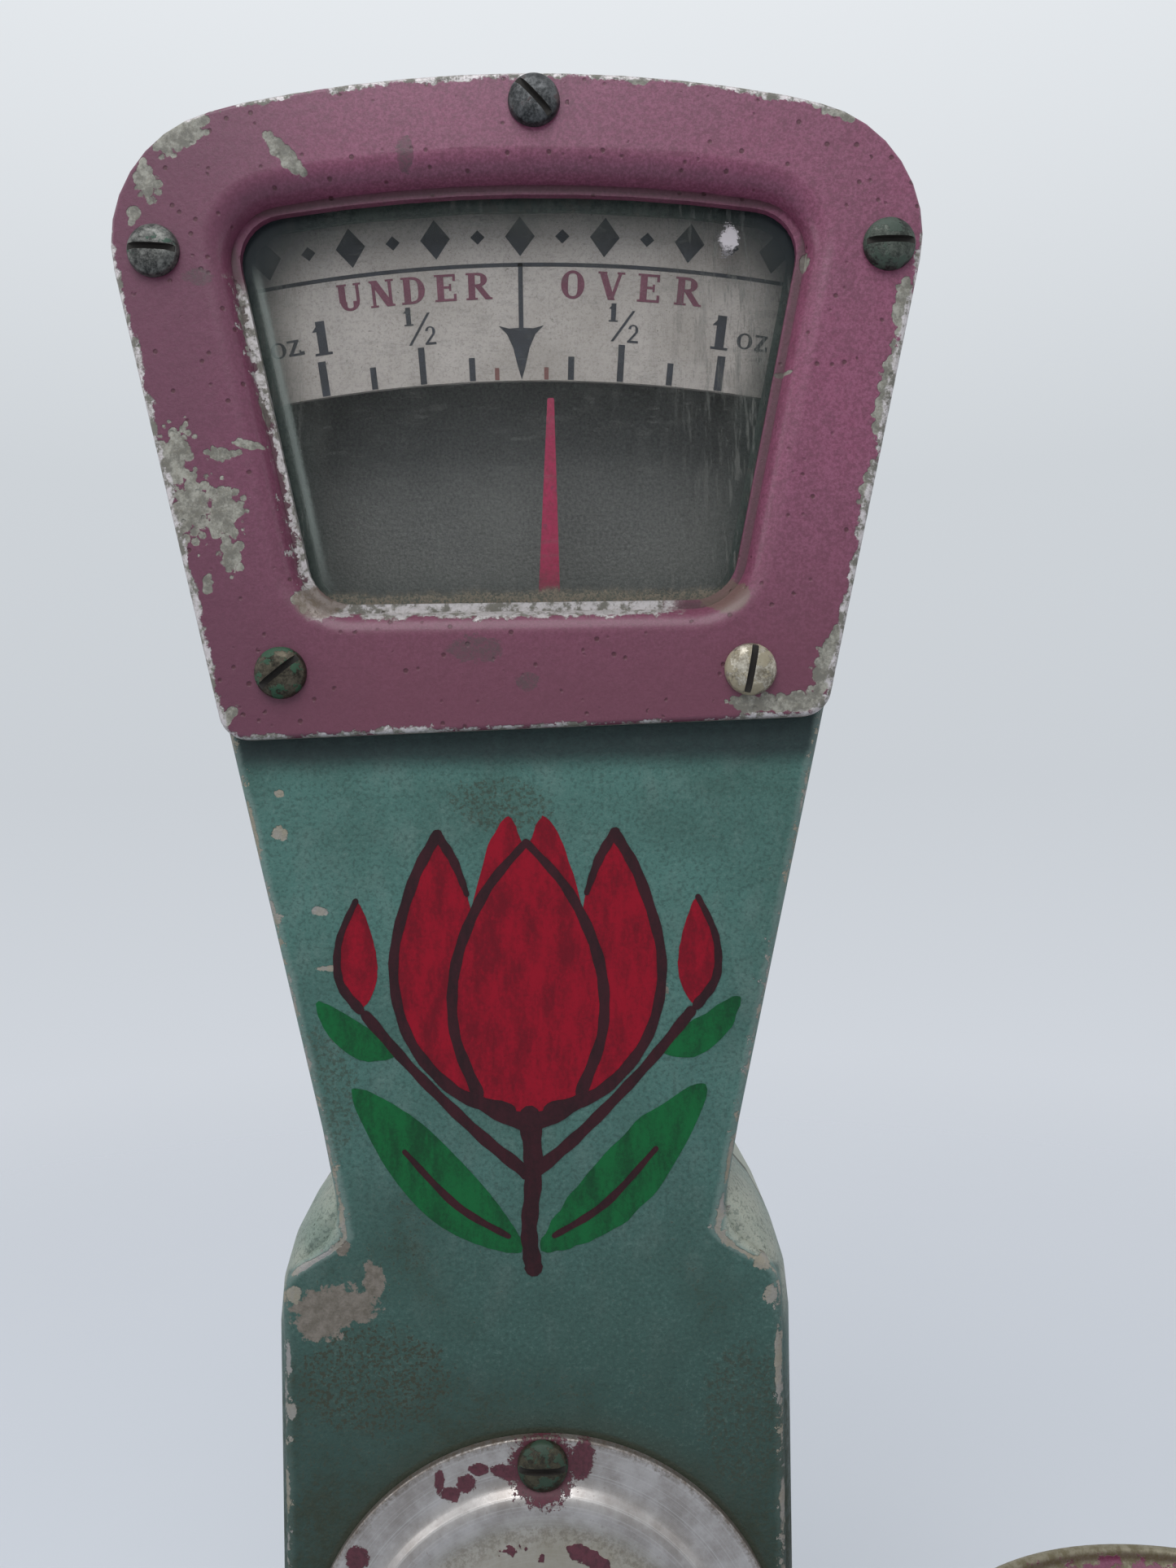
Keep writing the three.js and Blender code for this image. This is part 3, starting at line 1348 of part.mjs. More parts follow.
// Oil dashpot: a cup on the bottom plate and a plunger hung from the beam's damper arm
{
  const lowZ = plateHighZ + seatGap;
  const inner = dashpotRadius - dashpotWall;
  const cup = [
    [0, lowZ],
    [dashpotRadius, lowZ],
    [dashpotRadius, lowZ + dashpotHeight],
    [inner, lowZ + dashpotHeight],
    [inner, lowZ + dashpotWall],
    [0, lowZ + dashpotWall],
  ];
  addPiece('dashpot_cup', turnedUp(cup, dashpotPlaceX, dashpotPlaceY, 2 * smallSteps), brass);
  const discZ = lowZ + dashpotWall + plungerRise;
  const plunger = joined([
    barUp(plungerRadius, discZ, discZ + plungerThickness, dashpotPlaceX, dashpotPlaceY, 2 * smallSteps),
    barUp(plungerRodRadius, discZ, fulcrumHeight - pinRadius - runGap, dashpotPlaceX, dashpotPlaceY),
    barAlongY(
      damperEyeRadius,
      dashpotPlaceY - damperEyeWidth / 2,
      dashpotPlaceY + damperEyeWidth / 2,
      dashpotPlaceX,
      fulcrumHeight,
    ),
  ]).subtract(barAlongY(pinRadius + runGap, 0, 2 * dashpotPlaceY, dashpotPlaceX, fulcrumHeight));
  addPiece('dashpot_plunger', plunger, plainSteel);
}

export default scale;
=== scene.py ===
"""Dresses an even-balance over-and-under scale: paint, bare metal, print, glass and light."""
import math

import bmesh
import bpy
from mathutils import Euler, Matrix, Vector


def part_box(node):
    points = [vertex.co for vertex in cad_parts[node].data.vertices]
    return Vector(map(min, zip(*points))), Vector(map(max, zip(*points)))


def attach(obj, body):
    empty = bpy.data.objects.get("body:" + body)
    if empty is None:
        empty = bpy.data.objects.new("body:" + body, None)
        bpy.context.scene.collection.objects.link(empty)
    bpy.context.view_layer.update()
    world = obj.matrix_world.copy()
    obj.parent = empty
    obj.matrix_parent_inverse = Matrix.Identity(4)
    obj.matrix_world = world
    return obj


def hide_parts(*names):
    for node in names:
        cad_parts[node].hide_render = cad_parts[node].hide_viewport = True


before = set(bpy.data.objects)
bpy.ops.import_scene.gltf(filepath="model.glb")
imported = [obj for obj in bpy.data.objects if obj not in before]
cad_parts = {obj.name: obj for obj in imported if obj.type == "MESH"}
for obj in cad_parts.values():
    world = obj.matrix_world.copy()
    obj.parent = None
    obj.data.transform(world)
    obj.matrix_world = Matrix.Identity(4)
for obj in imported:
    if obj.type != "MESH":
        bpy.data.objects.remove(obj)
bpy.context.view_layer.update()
MM = 0.001


# Camera: hand-held close in front of the neck, almost level and turned a little to one side,
# so the head leans left and both flanks of the rear cover show beside the tower.
CAMERA_PLACE = (0.011, -0.224, 0.290)
CAMERA_ROLL = math.radians(0.8)
CAMERA_LENS = 27.05

camera_data = bpy.data.cameras.new("camera")
camera_data.lens = CAMERA_LENS
camera_data.sensor_width = 36
camera_data.clip_start = 0.01
camera = bpy.data.objects.new("camera", camera_data)
bpy.context.scene.collection.objects.link(camera)
camera.location = CAMERA_PLACE
level = Euler((math.pi / 2, 0, 0)).to_matrix()
camera.rotation_euler = (level @ Matrix.Rotation(-CAMERA_ROLL, 3, "Z")).to_euler()
bpy.context.scene.camera = camera
bpy.context.scene.view_settings.view_transform = "Standard"


def srgb(red, green, blue):
    """A colour written as 0 to 255 per channel, as the shader sockets want it."""
    def linear(value):
        value /= 255
        return value / 12.92 if value <= 0.04045 else ((value + 0.055) / 1.055) ** 2.4
    return (linear(red), linear(green), linear(blue), 1.0)


class Wire:
    """A socket in a material; sums, products and comparisons of it become Math nodes."""

    def __init__(self, tree, socket=None):
        self.tree = tree
        self.socket = socket

    def node(self, kind, settings=None, sockets=None, out=0):
        made = self.tree.nodes.new("ShaderNode" + kind)
        for name, value in (settings or {}).items():
            if name == "stops":
                elements = made.color_ramp.elements
                while len(elements) < len(value):
                    elements.new(1.0)
                for element, (position, colour) in zip(elements, value):
                    element.position, element.color = position, colour
            else:
                setattr(made, name, value)
        for name, value in (sockets or {}).items():
            if isinstance(value, Wire):
                self.tree.links.new(value.socket, made.inputs[name])
            else:
                made.inputs[name].default_value = value
        return Wire(self.tree, made.outputs[out])

    def math(self, operation, *values):
        return self.node("Math", {"operation": operation}, dict(enumerate(values)))

    def __add__(self, other):
        return self.math("ADD", self, other)

    def __sub__(self, other):
        return self.math("SUBTRACT", self, other)

    def __rsub__(self, other):
        return self.math("SUBTRACT", other, self)

    def __mul__(self, other):
        return self.math("MULTIPLY", self, other)

    def __truediv__(self, other):
        return self.math("DIVIDE", self, other)

    def __abs__(self):
        return self.math("ABSOLUTE", self)

    def __or__(self, other):
        return self.math("MAXIMUM", self, other)

    def __and__(self, other):
        return self.math("MINIMUM", self, other)

    __radd__ = __add__
    __rmul__ = __mul__

    def between(self, low, high):
        """0 below low, 1 above high, and a smooth step from one to the other."""
        return self.node(
            "MapRange",
            {"interpolation_type": "SMOOTHSTEP"},
            {"Value": self, "From Min": low, "From Max": high},
        )

    def away(self, *parts):
        """The length of the vector that has these parts."""
        joined = self.node("CombineXYZ", {}, dict(enumerate(parts)))
        return joined.node("VectorMath", {"operation": "LENGTH"}, {0: joined}, out=1)

    def mix(self, first, second):
        """The first colour where this is 0, the second where it is 1."""
        return self.node(
            "Mix", {"data_type": "RGBA", "clamp_factor": True}, {0: self, 6: first, 7: second}, out=2
        )


class Finish:
    """A new material with its shader, its places in millimetres and a few kinds of mottle."""

    def __init__(self, name, **constants):
        self.material = bpy.data.materials.new(name)
        self.material.use_nodes = True
        self.tree = self.material.node_tree
        self.shader = self.tree.nodes["Principled BSDF"]
        for socket, value in constants.items():
            self.shader.inputs[socket.replace("_", " ").title().replace("Ior", "IOR")].default_value = value
        start = Wire(self.tree)
        metres = start.node("TexCoord", out=3)
        self.place = start.node("VectorMath", {"operation": "SCALE"}, {0: metres, "Scale": 1 / MM})
        split = start.node("SeparateXYZ", {}, {0: self.place}).socket.node
        self.x, self.y, self.z = (Wire(self.tree, socket) for socket in split.outputs)

    def mottle(self, size, detail=3, roughness=0.6, stretch=(1, 1, 1), seed=0):
        """Noise from 0 to 1 whose blobs are about the given size in millimetres."""
        at = self.place.node(
            "Mapping", {},
            {"Vector": self.place, "Location": (seed * 37, seed * 11, seed * 23), "Scale": stretch},
        )
        return at.node(
            "TexNoise", {}, {"Vector": at, "Scale": 1 / size, "Detail": detail, "Roughness": roughness}
        )

    def cells(self, size, seed=0):
        """Distance from the nearest of scattered points, in cells of the given size."""
        shift = (seed * 17, seed * 31, seed * 7)
        at = self.place.node("Mapping", {}, {"Vector": self.place, "Location": shift})
        return at.node("TexVoronoi", {}, {"Vector": at, "Scale": 1 / size})

    def blot(self, x, z, half_x, half_z, tilt=0.0, ragged=None, rough_by=1.0):
        """1 inside a ragged patch at x and z on the front, 0 outside it."""
        local = self.place.node(
            "Mapping",
            {"vector_type": "TEXTURE"},
            {
                "Vector": self.place,
                "Location": (x, 0, z),
                "Rotation": (0, math.radians(tilt), 0),
                "Scale": (half_x, 10000, half_z),
            },
        )
        far = local.node("VectorMath", {"operation": "LENGTH"}, {0: local}, out=1)
        edge = far + (ragged - 0.5) * rough_by if ragged else far
        return (1 - edge).between(0.0, 0.12)

    def bump(self, height, depth):
        """Raises the surface by the depth in millimetres where the height is 1."""
        normal = height.node("Bump", {}, {"Height": height, "Distance": depth * MM, "Strength": 1.0})
        self.link("Normal", normal)

    def link(self, socket, wire):
        self.tree.links.new(wire.socket, self.shader.inputs[socket])


# Floor, walls and light: a pale floor that runs up into nothing, one large soft lamp above the
# front, a weaker one at each side, and a pale surround that metal and glass can mirror.
FLOOR_REACH = 6.0
SURROUND = [
    (0.0, srgb(216, 221, 230)), (0.25, srgb(214, 219, 228)), (0.5, srgb(202, 207, 213)),
    (0.62, srgb(206, 211, 216)), (0.78, srgb(230, 234, 238)), (1.0, srgb(232, 236, 240)),
]
SURROUND_LIGHT = srgb(158, 163, 170)

floor_mesh = bpy.data.meshes.new("floor")
bm = bmesh.new()
bmesh.ops.create_grid(bm, x_segments=1, y_segments=1, size=FLOOR_REACH)
bmesh.ops.translate(bm, vec=(0, 0, -0.0002), verts=bm.verts)
bm.to_mesh(floor_mesh)
bm.free()
floor = bpy.data.objects.new("floor", floor_mesh)
bpy.context.scene.collection.objects.link(floor)
floor_finish = Finish("pale_floor", roughness=0.7)
floor_finish.link("Base Color", floor_finish.mottle(300).mix(srgb(219, 222, 227), srgb(214, 218, 224)))
from_middle = floor_finish.x.away(floor_finish.x, floor_finish.y)
floor_finish.link("Alpha", 1 - from_middle.between(300, 1100))
floor_mesh.materials.append(floor_finish.material)

world = bpy.data.worlds.new("surround")
bpy.context.scene.world = world
world.use_nodes = True
sky = Wire(world.node_tree)
rays = world.node_tree.nodes.new("ShaderNodeLightPath")
camera_ray, glossy_ray = [
    Wire(world.node_tree, rays.outputs[name]) for name in ("Is Camera Ray", "Is Glossy Ray")
]
seen = camera_ray | glossy_ray
seen = seen | Wire(world.node_tree, rays.outputs["Is Transmission Ray"])
height = sky.node("SeparateXYZ", {}, {0: sky.node("TexCoord", out=0)}, out=2)
shown = height.node("ValToRGB", {"stops": SURROUND}, {0: height * 0.5 + 0.5})
background = world.node_tree.nodes["Background"]
world.node_tree.links.new(seen.mix(SURROUND_LIGHT, shown).socket, background.inputs["Color"])
background.inputs["Strength"].default_value = 1.0


def lamp(name, place, target, size, power, colour=(1, 1, 1)):
    data = bpy.data.lights.new(name, "AREA")
    data.shape = "DISK"
    data.size = size
    data.energy = power
    data.color = colour
    obj = bpy.data.objects.new(name, data)
    bpy.context.scene.collection.objects.link(obj)
    obj.location = place
    obj.rotation_euler = (Vector(target) - Vector(place)).to_track_quat("-Z", "Y").to_euler()


lamp("lamp_above", (-0.15, -0.8, 1.4), (0, 0, 0.25), 1.0, 12.0, (0.98, 0.99, 1.0))
lamp("lamp_left", (-1.1, -0.3, 0.7), (0, 0, 0.25), 0.7, 2.6)
lamp("lamp_right", (1.1, -0.2, 0.7), (0, 0, 0.25), 0.7, 1.2)
lamp("lamp_behind", (0.1, 1.2, 1.2), (0, 0, 0.2), 0.8, 4.0)


# Tower casting: one iron casting for head, neck and lower body, about 4 mm thick, painted in a
# sage green enamel that has been brushed over rough metal. It stands on a flange on the deck.
TOWER_FRONT, TOWER_SEAM, TOWER_WALL, TOWER_EDGE = -17.6, 7.4, 3.8, 1.8
TRAY_BACK = TOWER_SEAM - TOWER_WALL
DECK_TOP = 75.0
TOWER_FOOT = DECK_TOP + 0.1
BODY_HALF, SHOULDER_LOW, SHOULDER_HIGH, SHOULDER_ROUND = 44.0, 204.5, 212.0, 8.0
WAIST_HALF, WAIST_Z, SIDE_SLOPE = 33.4, 215.0, 0.22037
CROWN, CROWN_RADIUS, HEAD_CORNER = 413.2, 250.0, 23.0
HUMP_HALF, HUMP_TOP, HUMP_CORNER, HUMP_FLARE, HUMP_DEPTH = 47.0, 230.0, 36.0, 4.2, 16.0
ROOM_TOP, ROOM_CORNER = 206.0, 9.0
FLANGE_HALF, FLANGE_RISE, FLANGE_FRONT, FLANGE_ROUND = 50.0, 4.0, -23.44, 1.2
MOUTH_FOOT, COVER_HOLE_RADIUS, COVER_PLACE = 303.6, 29.0, (1.5, 134.5)
SAGE = srgb(76, 117, 109)
SAGE_DARK = srgb(58, 91, 83)
SAGE_PALE = srgb(104, 128, 121)
GRIME = srgb(52, 55, 42)
BARE_METAL = srgb(150, 148, 146)
PRIMER = srgb(146, 140, 124)


def round_corner(bm, vert, reach, segments):
    """Rounds the corner of a face, the reach given in metres."""
    bmesh.ops.bevel(
        bm, geom=[vert], offset=reach, offset_type="OFFSET", segments=segments, profile=0.5,
        affect="VERTICES", material=-1,
    )


def move(bm, x, y, z):
    """Moves a whole mesh by millimetres."""
    bmesh.ops.translate(bm, verts=bm.verts[:], vec=(x * MM, y * MM, z * MM))


def turn(bm, degrees, axis):
    """Turns a whole mesh about an axis through the origin."""
    bmesh.ops.rotate(
        bm, verts=bm.verts[:], cent=(0, 0, 0), matrix=Matrix.Rotation(math.radians(degrees), 3, axis)
    )


def block(size, place):
    """A box of the size with its middle at the place."""
    bm = bmesh.new()
    bmesh.ops.create_cube(bm, size=1)
    bmesh.ops.scale(bm, verts=bm.verts[:], vec=[value * MM for value in size])
    move(bm, *place)
    return bm


def draw_face(bm, corners, y):
    """A face in an upright plane; its corners are (x, z) or (x, z, radius)."""
    verts = [bm.verts.new((corner[0] * MM, y * MM, corner[1] * MM)) for corner in corners]
    bm.faces.new(verts)
    reaches = []
    for i, corner in enumerate(corners):
        here = verts[i].co
        back = (verts[i - 1].co - here).normalized()
        ahead = (verts[(i + 1) % len(verts)].co - here).normalized()
        radius = corner[2] if len(corner) > 2 else 0
        reaches.append(radius * MM / math.tan(back.angle(ahead) / 2))
    for vert, reach in zip(verts, reaches):
        if reach:
            round_corner(bm, vert, reach, 8)
    return bm.faces[:][-1]


def round_over(bm, cap, inset, depth, steps=5):
    """Turns the edge of a flat end inwards along a quarter of an ellipse."""
    for i in range(steps):
        low, high = (math.pi / 2 * (i + side) / steps for side in (0, 1))
        bmesh.ops.inset_region(
            bm, faces=[cap], use_boundary=True, use_even_offset=True,
            thickness=inset * MM * (math.cos(low) - math.cos(high)),
            depth=depth * MM * (math.sin(high) - math.sin(low)),
        )


def slab(corners, start, end, start_round=None, end_round=None, steps=5):
    """A solid between two upright planes; a rounding is how far in and how deep it goes."""
    bm = bmesh.new()
    way = 1 if end > start else -1
    start += way * (start_round[1] if start_round else 0)
    end -= way * (end_round[1] if end_round else 0)
    face = draw_face(bm, corners if way < 0 else corners[::-1], start)
    made = bmesh.ops.extrude_face_region(bm, geom=[face], use_keep_orig=True)["geom"]
    cap = next(part for part in made if isinstance(part, bmesh.types.BMFace))
    bmesh.ops.translate(bm, vec=(0, (end - start) * MM, 0), verts=list(cap.verts))
    bmesh.ops.recalc_face_normals(bm, faces=bm.faces[:])
    bm.normal_update()
    if end_round:
        round_over(bm, cap, *end_round, steps=steps)
    if start_round:
        round_over(bm, face, *start_round, steps=steps)
    bmesh.ops.recalc_face_normals(bm, faces=bm.faces[:])
    return bm


def carve(whole, joined=(), cut=()):
    """Joins closed solids to the first and cuts others from it, and uses them all up."""
    def stand_in(bm):
        mesh = bpy.data.meshes.new("stand_in")
        bm.to_mesh(mesh)
        bm.free()
        obj = bpy.data.objects.new("stand_in", mesh)
        bpy.context.scene.collection.objects.link(obj)
        return obj
    body = stand_in(whole)
    tools = [("UNION", stand_in(bm)) for bm in joined] + [("DIFFERENCE", stand_in(bm)) for bm in cut]
    for operation, tool in tools:
        step = body.modifiers.new("step", "BOOLEAN")
        step.operation, step.object, step.solver = operation, tool, "EXACT"
    bpy.context.view_layer.update()
    result = bmesh.new()
    result.from_object(body, bpy.context.evaluated_depsgraph_get())
    for obj in [body] + [tool for operation, tool in tools]:
        mesh = obj.data
        bpy.data.objects.remove(obj)
        bpy.data.meshes.remove(mesh)
    return result


def add_piece(name, bm, finish, body="root", replaces=(), smooth=35):
    """Makes the mesh an object with even shading, hangs it on the body it rides on and hides the parts it
    stands in for.
    """
    mesh = bpy.data.meshes.new(name)
    bm.to_mesh(mesh)
    bm.free()
    mesh.shade_smooth()
    mesh.set_sharp_from_angle(angle=math.radians(smooth))
    mesh.materials.append(finish.material)
    obj = bpy.data.objects.new(name, mesh)
    bpy.context.scene.collection.objects.link(obj)
    even = obj.modifiers.new("even_shading", "WEIGHTED_NORMAL")
    even.keep_sharp = True
    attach(obj, body)
    if replaces:
        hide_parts(*replaces)
    return obj


def spin_profile(profile, centre, axis, steps=96, rounds=()):
    """Turns a line of (radius, rise) round an axis: towards the front, the back or up."""
    bm = bmesh.new()
    verts = [bm.verts.new((radius * MM, 0, rise * MM)) for radius, rise in profile]
    for a, b in zip(verts, verts[1:]):
        bm.edges.new((a, b))
    for index, radius in rounds:
        round_corner(bm, verts[index], radius * MM, 6)
    bmesh.ops.spin(
        bm, geom=bm.verts[:] + bm.edges[:], cent=(0, 0, 0), axis=(0, 0, 1), dvec=(0, 0, 0),
        angle=2 * math.pi, steps=steps, use_merge=True,
    )
    bmesh.ops.remove_doubles(bm, verts=bm.verts[:], dist=1e-6)
    turn(bm, {"front": 90, "back": -90, "up": 0}[axis], "X")
    move(bm, *centre)
    bmesh.ops.recalc_face_normals(bm, faces=bm.faces[:])
    return bm


def side_half(z, margin=0.0):
    return WAIST_HALF + SIDE_SLOPE * (z - WAIST_Z) - margin * math.hypot(1, SIDE_SLOPE)


def crown_corners(crown, radius, half_at, corner, count=16):
    """The crown from right to left, its ends where the sloping sides meet it."""
    top = crown
    for i in range(20):
        top = crown - radius * (1 - math.cos(math.asin(half_at(top) / radius)))
    reach = math.asin(half_at(top) / radius)
    spread = [reach * (1 - 2 * i / count) for i in range(count + 1)]
    arc = [(radius * math.sin(a), crown - radius * (1 - math.cos(a))) for a in spread]
    inner = [p for p in arc[1:-1] if abs(p[0]) < arc[0][0] - 1.15 * corner]
    return [(*arc[0], corner)] + inner + [(*arc[-1], corner)]


def head_corners(foot, margin=0.0, foot_corner=0.0, foot_slope=0.0):
    crown = crown_corners(
        CROWN - margin, CROWN_RADIUS - margin, lambda z: side_half(z, margin), HEAD_CORNER - margin
    )
    left, right = foot - foot_slope, foot + foot_slope
    feet = [(-side_half(left, margin), left, foot_corner), (side_half(right, margin), right, foot_corner)]
    return feet + crown


def tower_corners(foot, margin=0.0):
    waist = SHOULDER_HIGH + 18
    right = [
        (BODY_HALF - margin, foot),
        (BODY_HALF - margin, SHOULDER_LOW - margin / 2, SHOULDER_ROUND),
        (WAIST_HALF - margin, SHOULDER_HIGH - margin / 2, SHOULDER_ROUND),
        (side_half(waist, margin), waist),
    ]
    crown = crown_corners(
        CROWN - margin, CROWN_RADIUS - margin, lambda z: side_half(z, margin), HEAD_CORNER - margin
    )
    return right + crown + [(-corner[0], *corner[1:]) for corner in reversed(right)]


def hump_corners(foot, margin=0.0):
    half, top, corner = HUMP_HALF - margin, HUMP_TOP - margin, HUMP_CORNER - margin
    return [(-half, foot), (half, foot), (half, top, corner), (-half, top, corner)]


class Tower(Finish):
    """A finish that knows how far, in millimetres, a point is from the tower's outline."""

    def outline_distance(self):
        neck = (self.z - WAIST_Z) * SIDE_SLOPE + WAIST_HALF
        raised = self.z.between(SHOULDER_LOW - 2, SHOULDER_HIGH)
        half = neck * raised + (1 - raised) * BODY_HALF
        side = (half - abs(self.x)) * 0.976
        crown = CROWN_RADIUS - self.x.away(self.x, 0, self.z - (CROWN - CROWN_RADIUS))
        return side.node("Math", {"operation": "SMOOTH_MIN"}, {0: side, 1: crown, 2: 12.0})

    def hump_distance(self):
        """How far a point is inside the outline of the arch behind the lower body."""
        across = abs(self.x) - (HUMP_HALF - HUMP_CORNER)
        up = self.z - (HUMP_TOP - HUMP_CORNER)
        return HUMP_CORNER - across.away(across | 0, 0, up | 0) - ((across | up) & 0)

    def from_edge(self, flat, y):
        """Distance from an edge that runs at a flat distance of zero in the plane y."""
        return flat.away(flat, self.y - y)


CHIPS = [
    (-43.1, 289.1, 1.0, 0.8), (-43.2, 282.3, 1.5, 1.7), (-36.3, 268.4, 1.7, 1.0), (-34.0, 258.3, 3.6, 0.6),
    (-41.9, 201.1, 1.8, 1.7), (40.3, 205.8, 1.7, 1.7), (41.7, 200.0, 1.5, 2.0), (-42.4, 180.8, 1.1, 2.0),
    (42.9, 187.4, 0.8, 8.0), (-42.9, 190.0, 0.6, 4.0),
]
RUBBED = [
    (-34.3, 199.0, 9.4, 4.2), (-37.5, 196.5, 5.0, 4.2), (-27.8, 203.6, 2.2, 4.0), (22.3, 254.0, 2.6, 2.2),
    (-33.0, 209.5, 1.6, 1.8),
]

sage = Tower("sage_enamel", roughness=0.5, specular_ior_level=0.32, coat_roughness=0.35)
cloud = sage.mottle(26, detail=4)
brushed = sage.mottle(5, detail=4, stretch=(1, 1, 0.55), seed=1)
peel = sage.mottle(0.9, detail=2, seed=2)
grit = sage.mottle(2.2, detail=5, roughness=0.75, seed=3)
# Painted shade: the enamel darker towards the bottom of the tower.
shade_low = 1 - sage.z.between(150, 262)
tone = cloud.between(0.25, 0.75).mix(SAGE, SAGE_DARK)
tone = (brushed.between(0.45, 0.8) * 0.45).mix(tone, SAGE_PALE)
tone = (shade_low * 0.85).mix(tone, srgb(36, 53, 47))
beyond = 0 - sage.outline_distance()
# The hump's faces beside the neck above the shoulders: a paler, thin coat, lightened further as painted
# highlight where they face up.
flank = beyond.between(-0.6, 0.8) * sage.y.between(TOWER_FRONT + 1.2, TOWER_FRONT + 4)
flank = flank | beyond.between(0.3, 1.2)
flank = flank * (1 - sage.z.between(HUMP_TOP, HUMP_TOP + 3)) * sage.z.between(190, 204)
pale_coat_and_highlight = cloud.between(0.35, 0.6).mix(srgb(166, 168, 154), srgb(130, 144, 132))
tone = (flank * 0.95).mix(tone, pale_coat_and_highlight)
stipple = sage.mottle(0.75, detail=3, roughness=0.7, seed=11)
tone = ((0.5 - stipple).between(0.0, 0.12) * 0.45).mix(tone, srgb(44, 66, 61))
tone = (stipple.between(0.55, 0.68) * 0.3).mix(tone, SAGE_PALE)
dirt = (grit * 0.55 + cloud * 0.6 + shade_low * 0.16 - 0.04).between(0.66, 0.86)
dirt = dirt | (stipple * 0.7 + cloud * 0.45 + shade_low * 0.1).between(0.70, 0.80)
# Painted shadow: a dark band across the front of the neck just under the bezel, as though cast by it.
painted_shadow_under_bezel = sage.z.between(291.5, 296) * (1 - sage.z.between(303, 306)) * (1 - sage.y.between(-15, -11))
speck = sage.mottle(0.6, detail=2, roughness=0.6, seed=12)
dusty = sage.blot(-28, 186, 14, 10, 0, grit, 1.6) | sage.blot(37, 178, 8, 14, 0, grit, 1.7) * 0.7
dusty = dusty | sage.blot(-4, 286.5, 9, 5, 10, grit, 1.6) * 0.7
dusty = dusty | sage.blot(-36, 236, 6, 12, 0, grit, 1.6) * 0.6
smudge = dusty * (0.15 + speck.between(0.5, 0.58) * 0.75)
smudge = smudge | flank * (
    sage.y.between(TOWER_SEAM - 2.6, TOWER_SEAM - 1.4) | grit.between(0.55, 0.7) * 0.45
)
ring_gap = sage.x.away(sage.x - COVER_PLACE[0], 0, sage.z - COVER_PLACE[1])
ring_dirt = (1 - ring_gap.between(42.6, 43.8)) * 0.9
ring_dirt = ring_dirt | (1 - (ring_gap + grit * 6).between(45, 52)) * 0.5
tone = (dirt * 0.75 | smudge | ring_dirt).mix(tone, GRIME)
# The painted shadow under the bezel, broken up by grit.
tone = (painted_shadow_under_bezel * (0.7 + grit * 0.3)).mix(tone, srgb(20, 31, 34))
edge_front = sage.from_edge(sage.outline_distance(), TOWER_FRONT)
edge_back = sage.from_edge(sage.outline_distance(), TOWER_SEAM)
rub = sage.mottle(7, detail=5, roughness=0.7, seed=4)
# Painted highlight: a pale ragged line along the rounded front and back edges, stronger above the shoulders.
painted_rim_highlight = 1 - (edge_front - rub * 2.2).between(-0.2, 1.1)
painted_rim_highlight = painted_rim_highlight | 1 - (edge_back - rub * 2.0).between(-0.4, 0.8)
tone = (painted_rim_highlight * (0.14 + sage.z.between(196, 206) * 0.36)).mix(tone, srgb(122, 140, 134))
bare_rim = (rub * 3.4 - edge_front).between(0.9, 1.2) | (rub * 3.0 - edge_back).between(1.0, 1.3)
nick = sage.mottle(2.4, detail=4, roughness=0.7, seed=14)
bare_rim = bare_rim | ((nick - 0.49) * 13 - edge_front).between(0.0, 0.3)
chipped = bare_rim
for x, z, half_x, half_z in CHIPS:
    chipped = chipped | sage.blot(x, z, half_x, half_z, 0, grit * 0.6 + nick * 0.5, 2.6)
front_only = 1 - sage.y.between(TOWER_FRONT + 2.5, TOWER_FRONT + 3.5)
fleck = (sage.mottle(1.3, detail=3, seed=6) - edge_front * 0.012).between(0.745, 0.77)
chipped = chipped * (front_only | bare_rim) | fleck
rubbed = chipped * 0
for x, z, half_x, half_z in RUBBED:
    rubbed = rubbed | sage.blot(x, z, half_x, half_z, 0, grit * 0.6 + nick * 0.5, 2.2) * front_only
tone = rubbed.mix(tone, grit.between(0.35, 0.65).mix(srgb(124, 116, 107), srgb(98, 92, 82)))
tone = chipped.mix(tone, brushed.between(0.35, 0.7).mix(PRIMER, BARE_METAL))
behind_front = sage.y.between(TOWER_FRONT + 1.6, TOWER_FRONT + 2.6)
behind_front = behind_front * (1 - sage.y.between(TRAY_BACK + 0.3, TRAY_BACK + 0.8))
inside = behind_front * sage.outline_distance().between(3.2, 3.6)
cast = sage.mottle(0.6, detail=4, roughness=0.8, seed=9)
inner = (cast * 0.8 + cloud * 0.2).between(0.34, 0.66).mix(srgb(84, 85, 83), srgb(126, 127, 123))
tone = inside.mix(tone, inner)
sage.link("Base Color", tone)
sage.link("Roughness", 0.46 + grit * 0.2 + chipped * 0.05 + dirt * 0.2)
sage.link("Metallic", chipped * 0.45)
sage.link("Coat Weight", (1 - (chipped | dirt)) * 0.1)
sage.bump(peel * 0.6 + brushed * 0.9 + stipple * 0.5 + grit * 0.4 + (1 - chipped) * 0.5, 0.24)

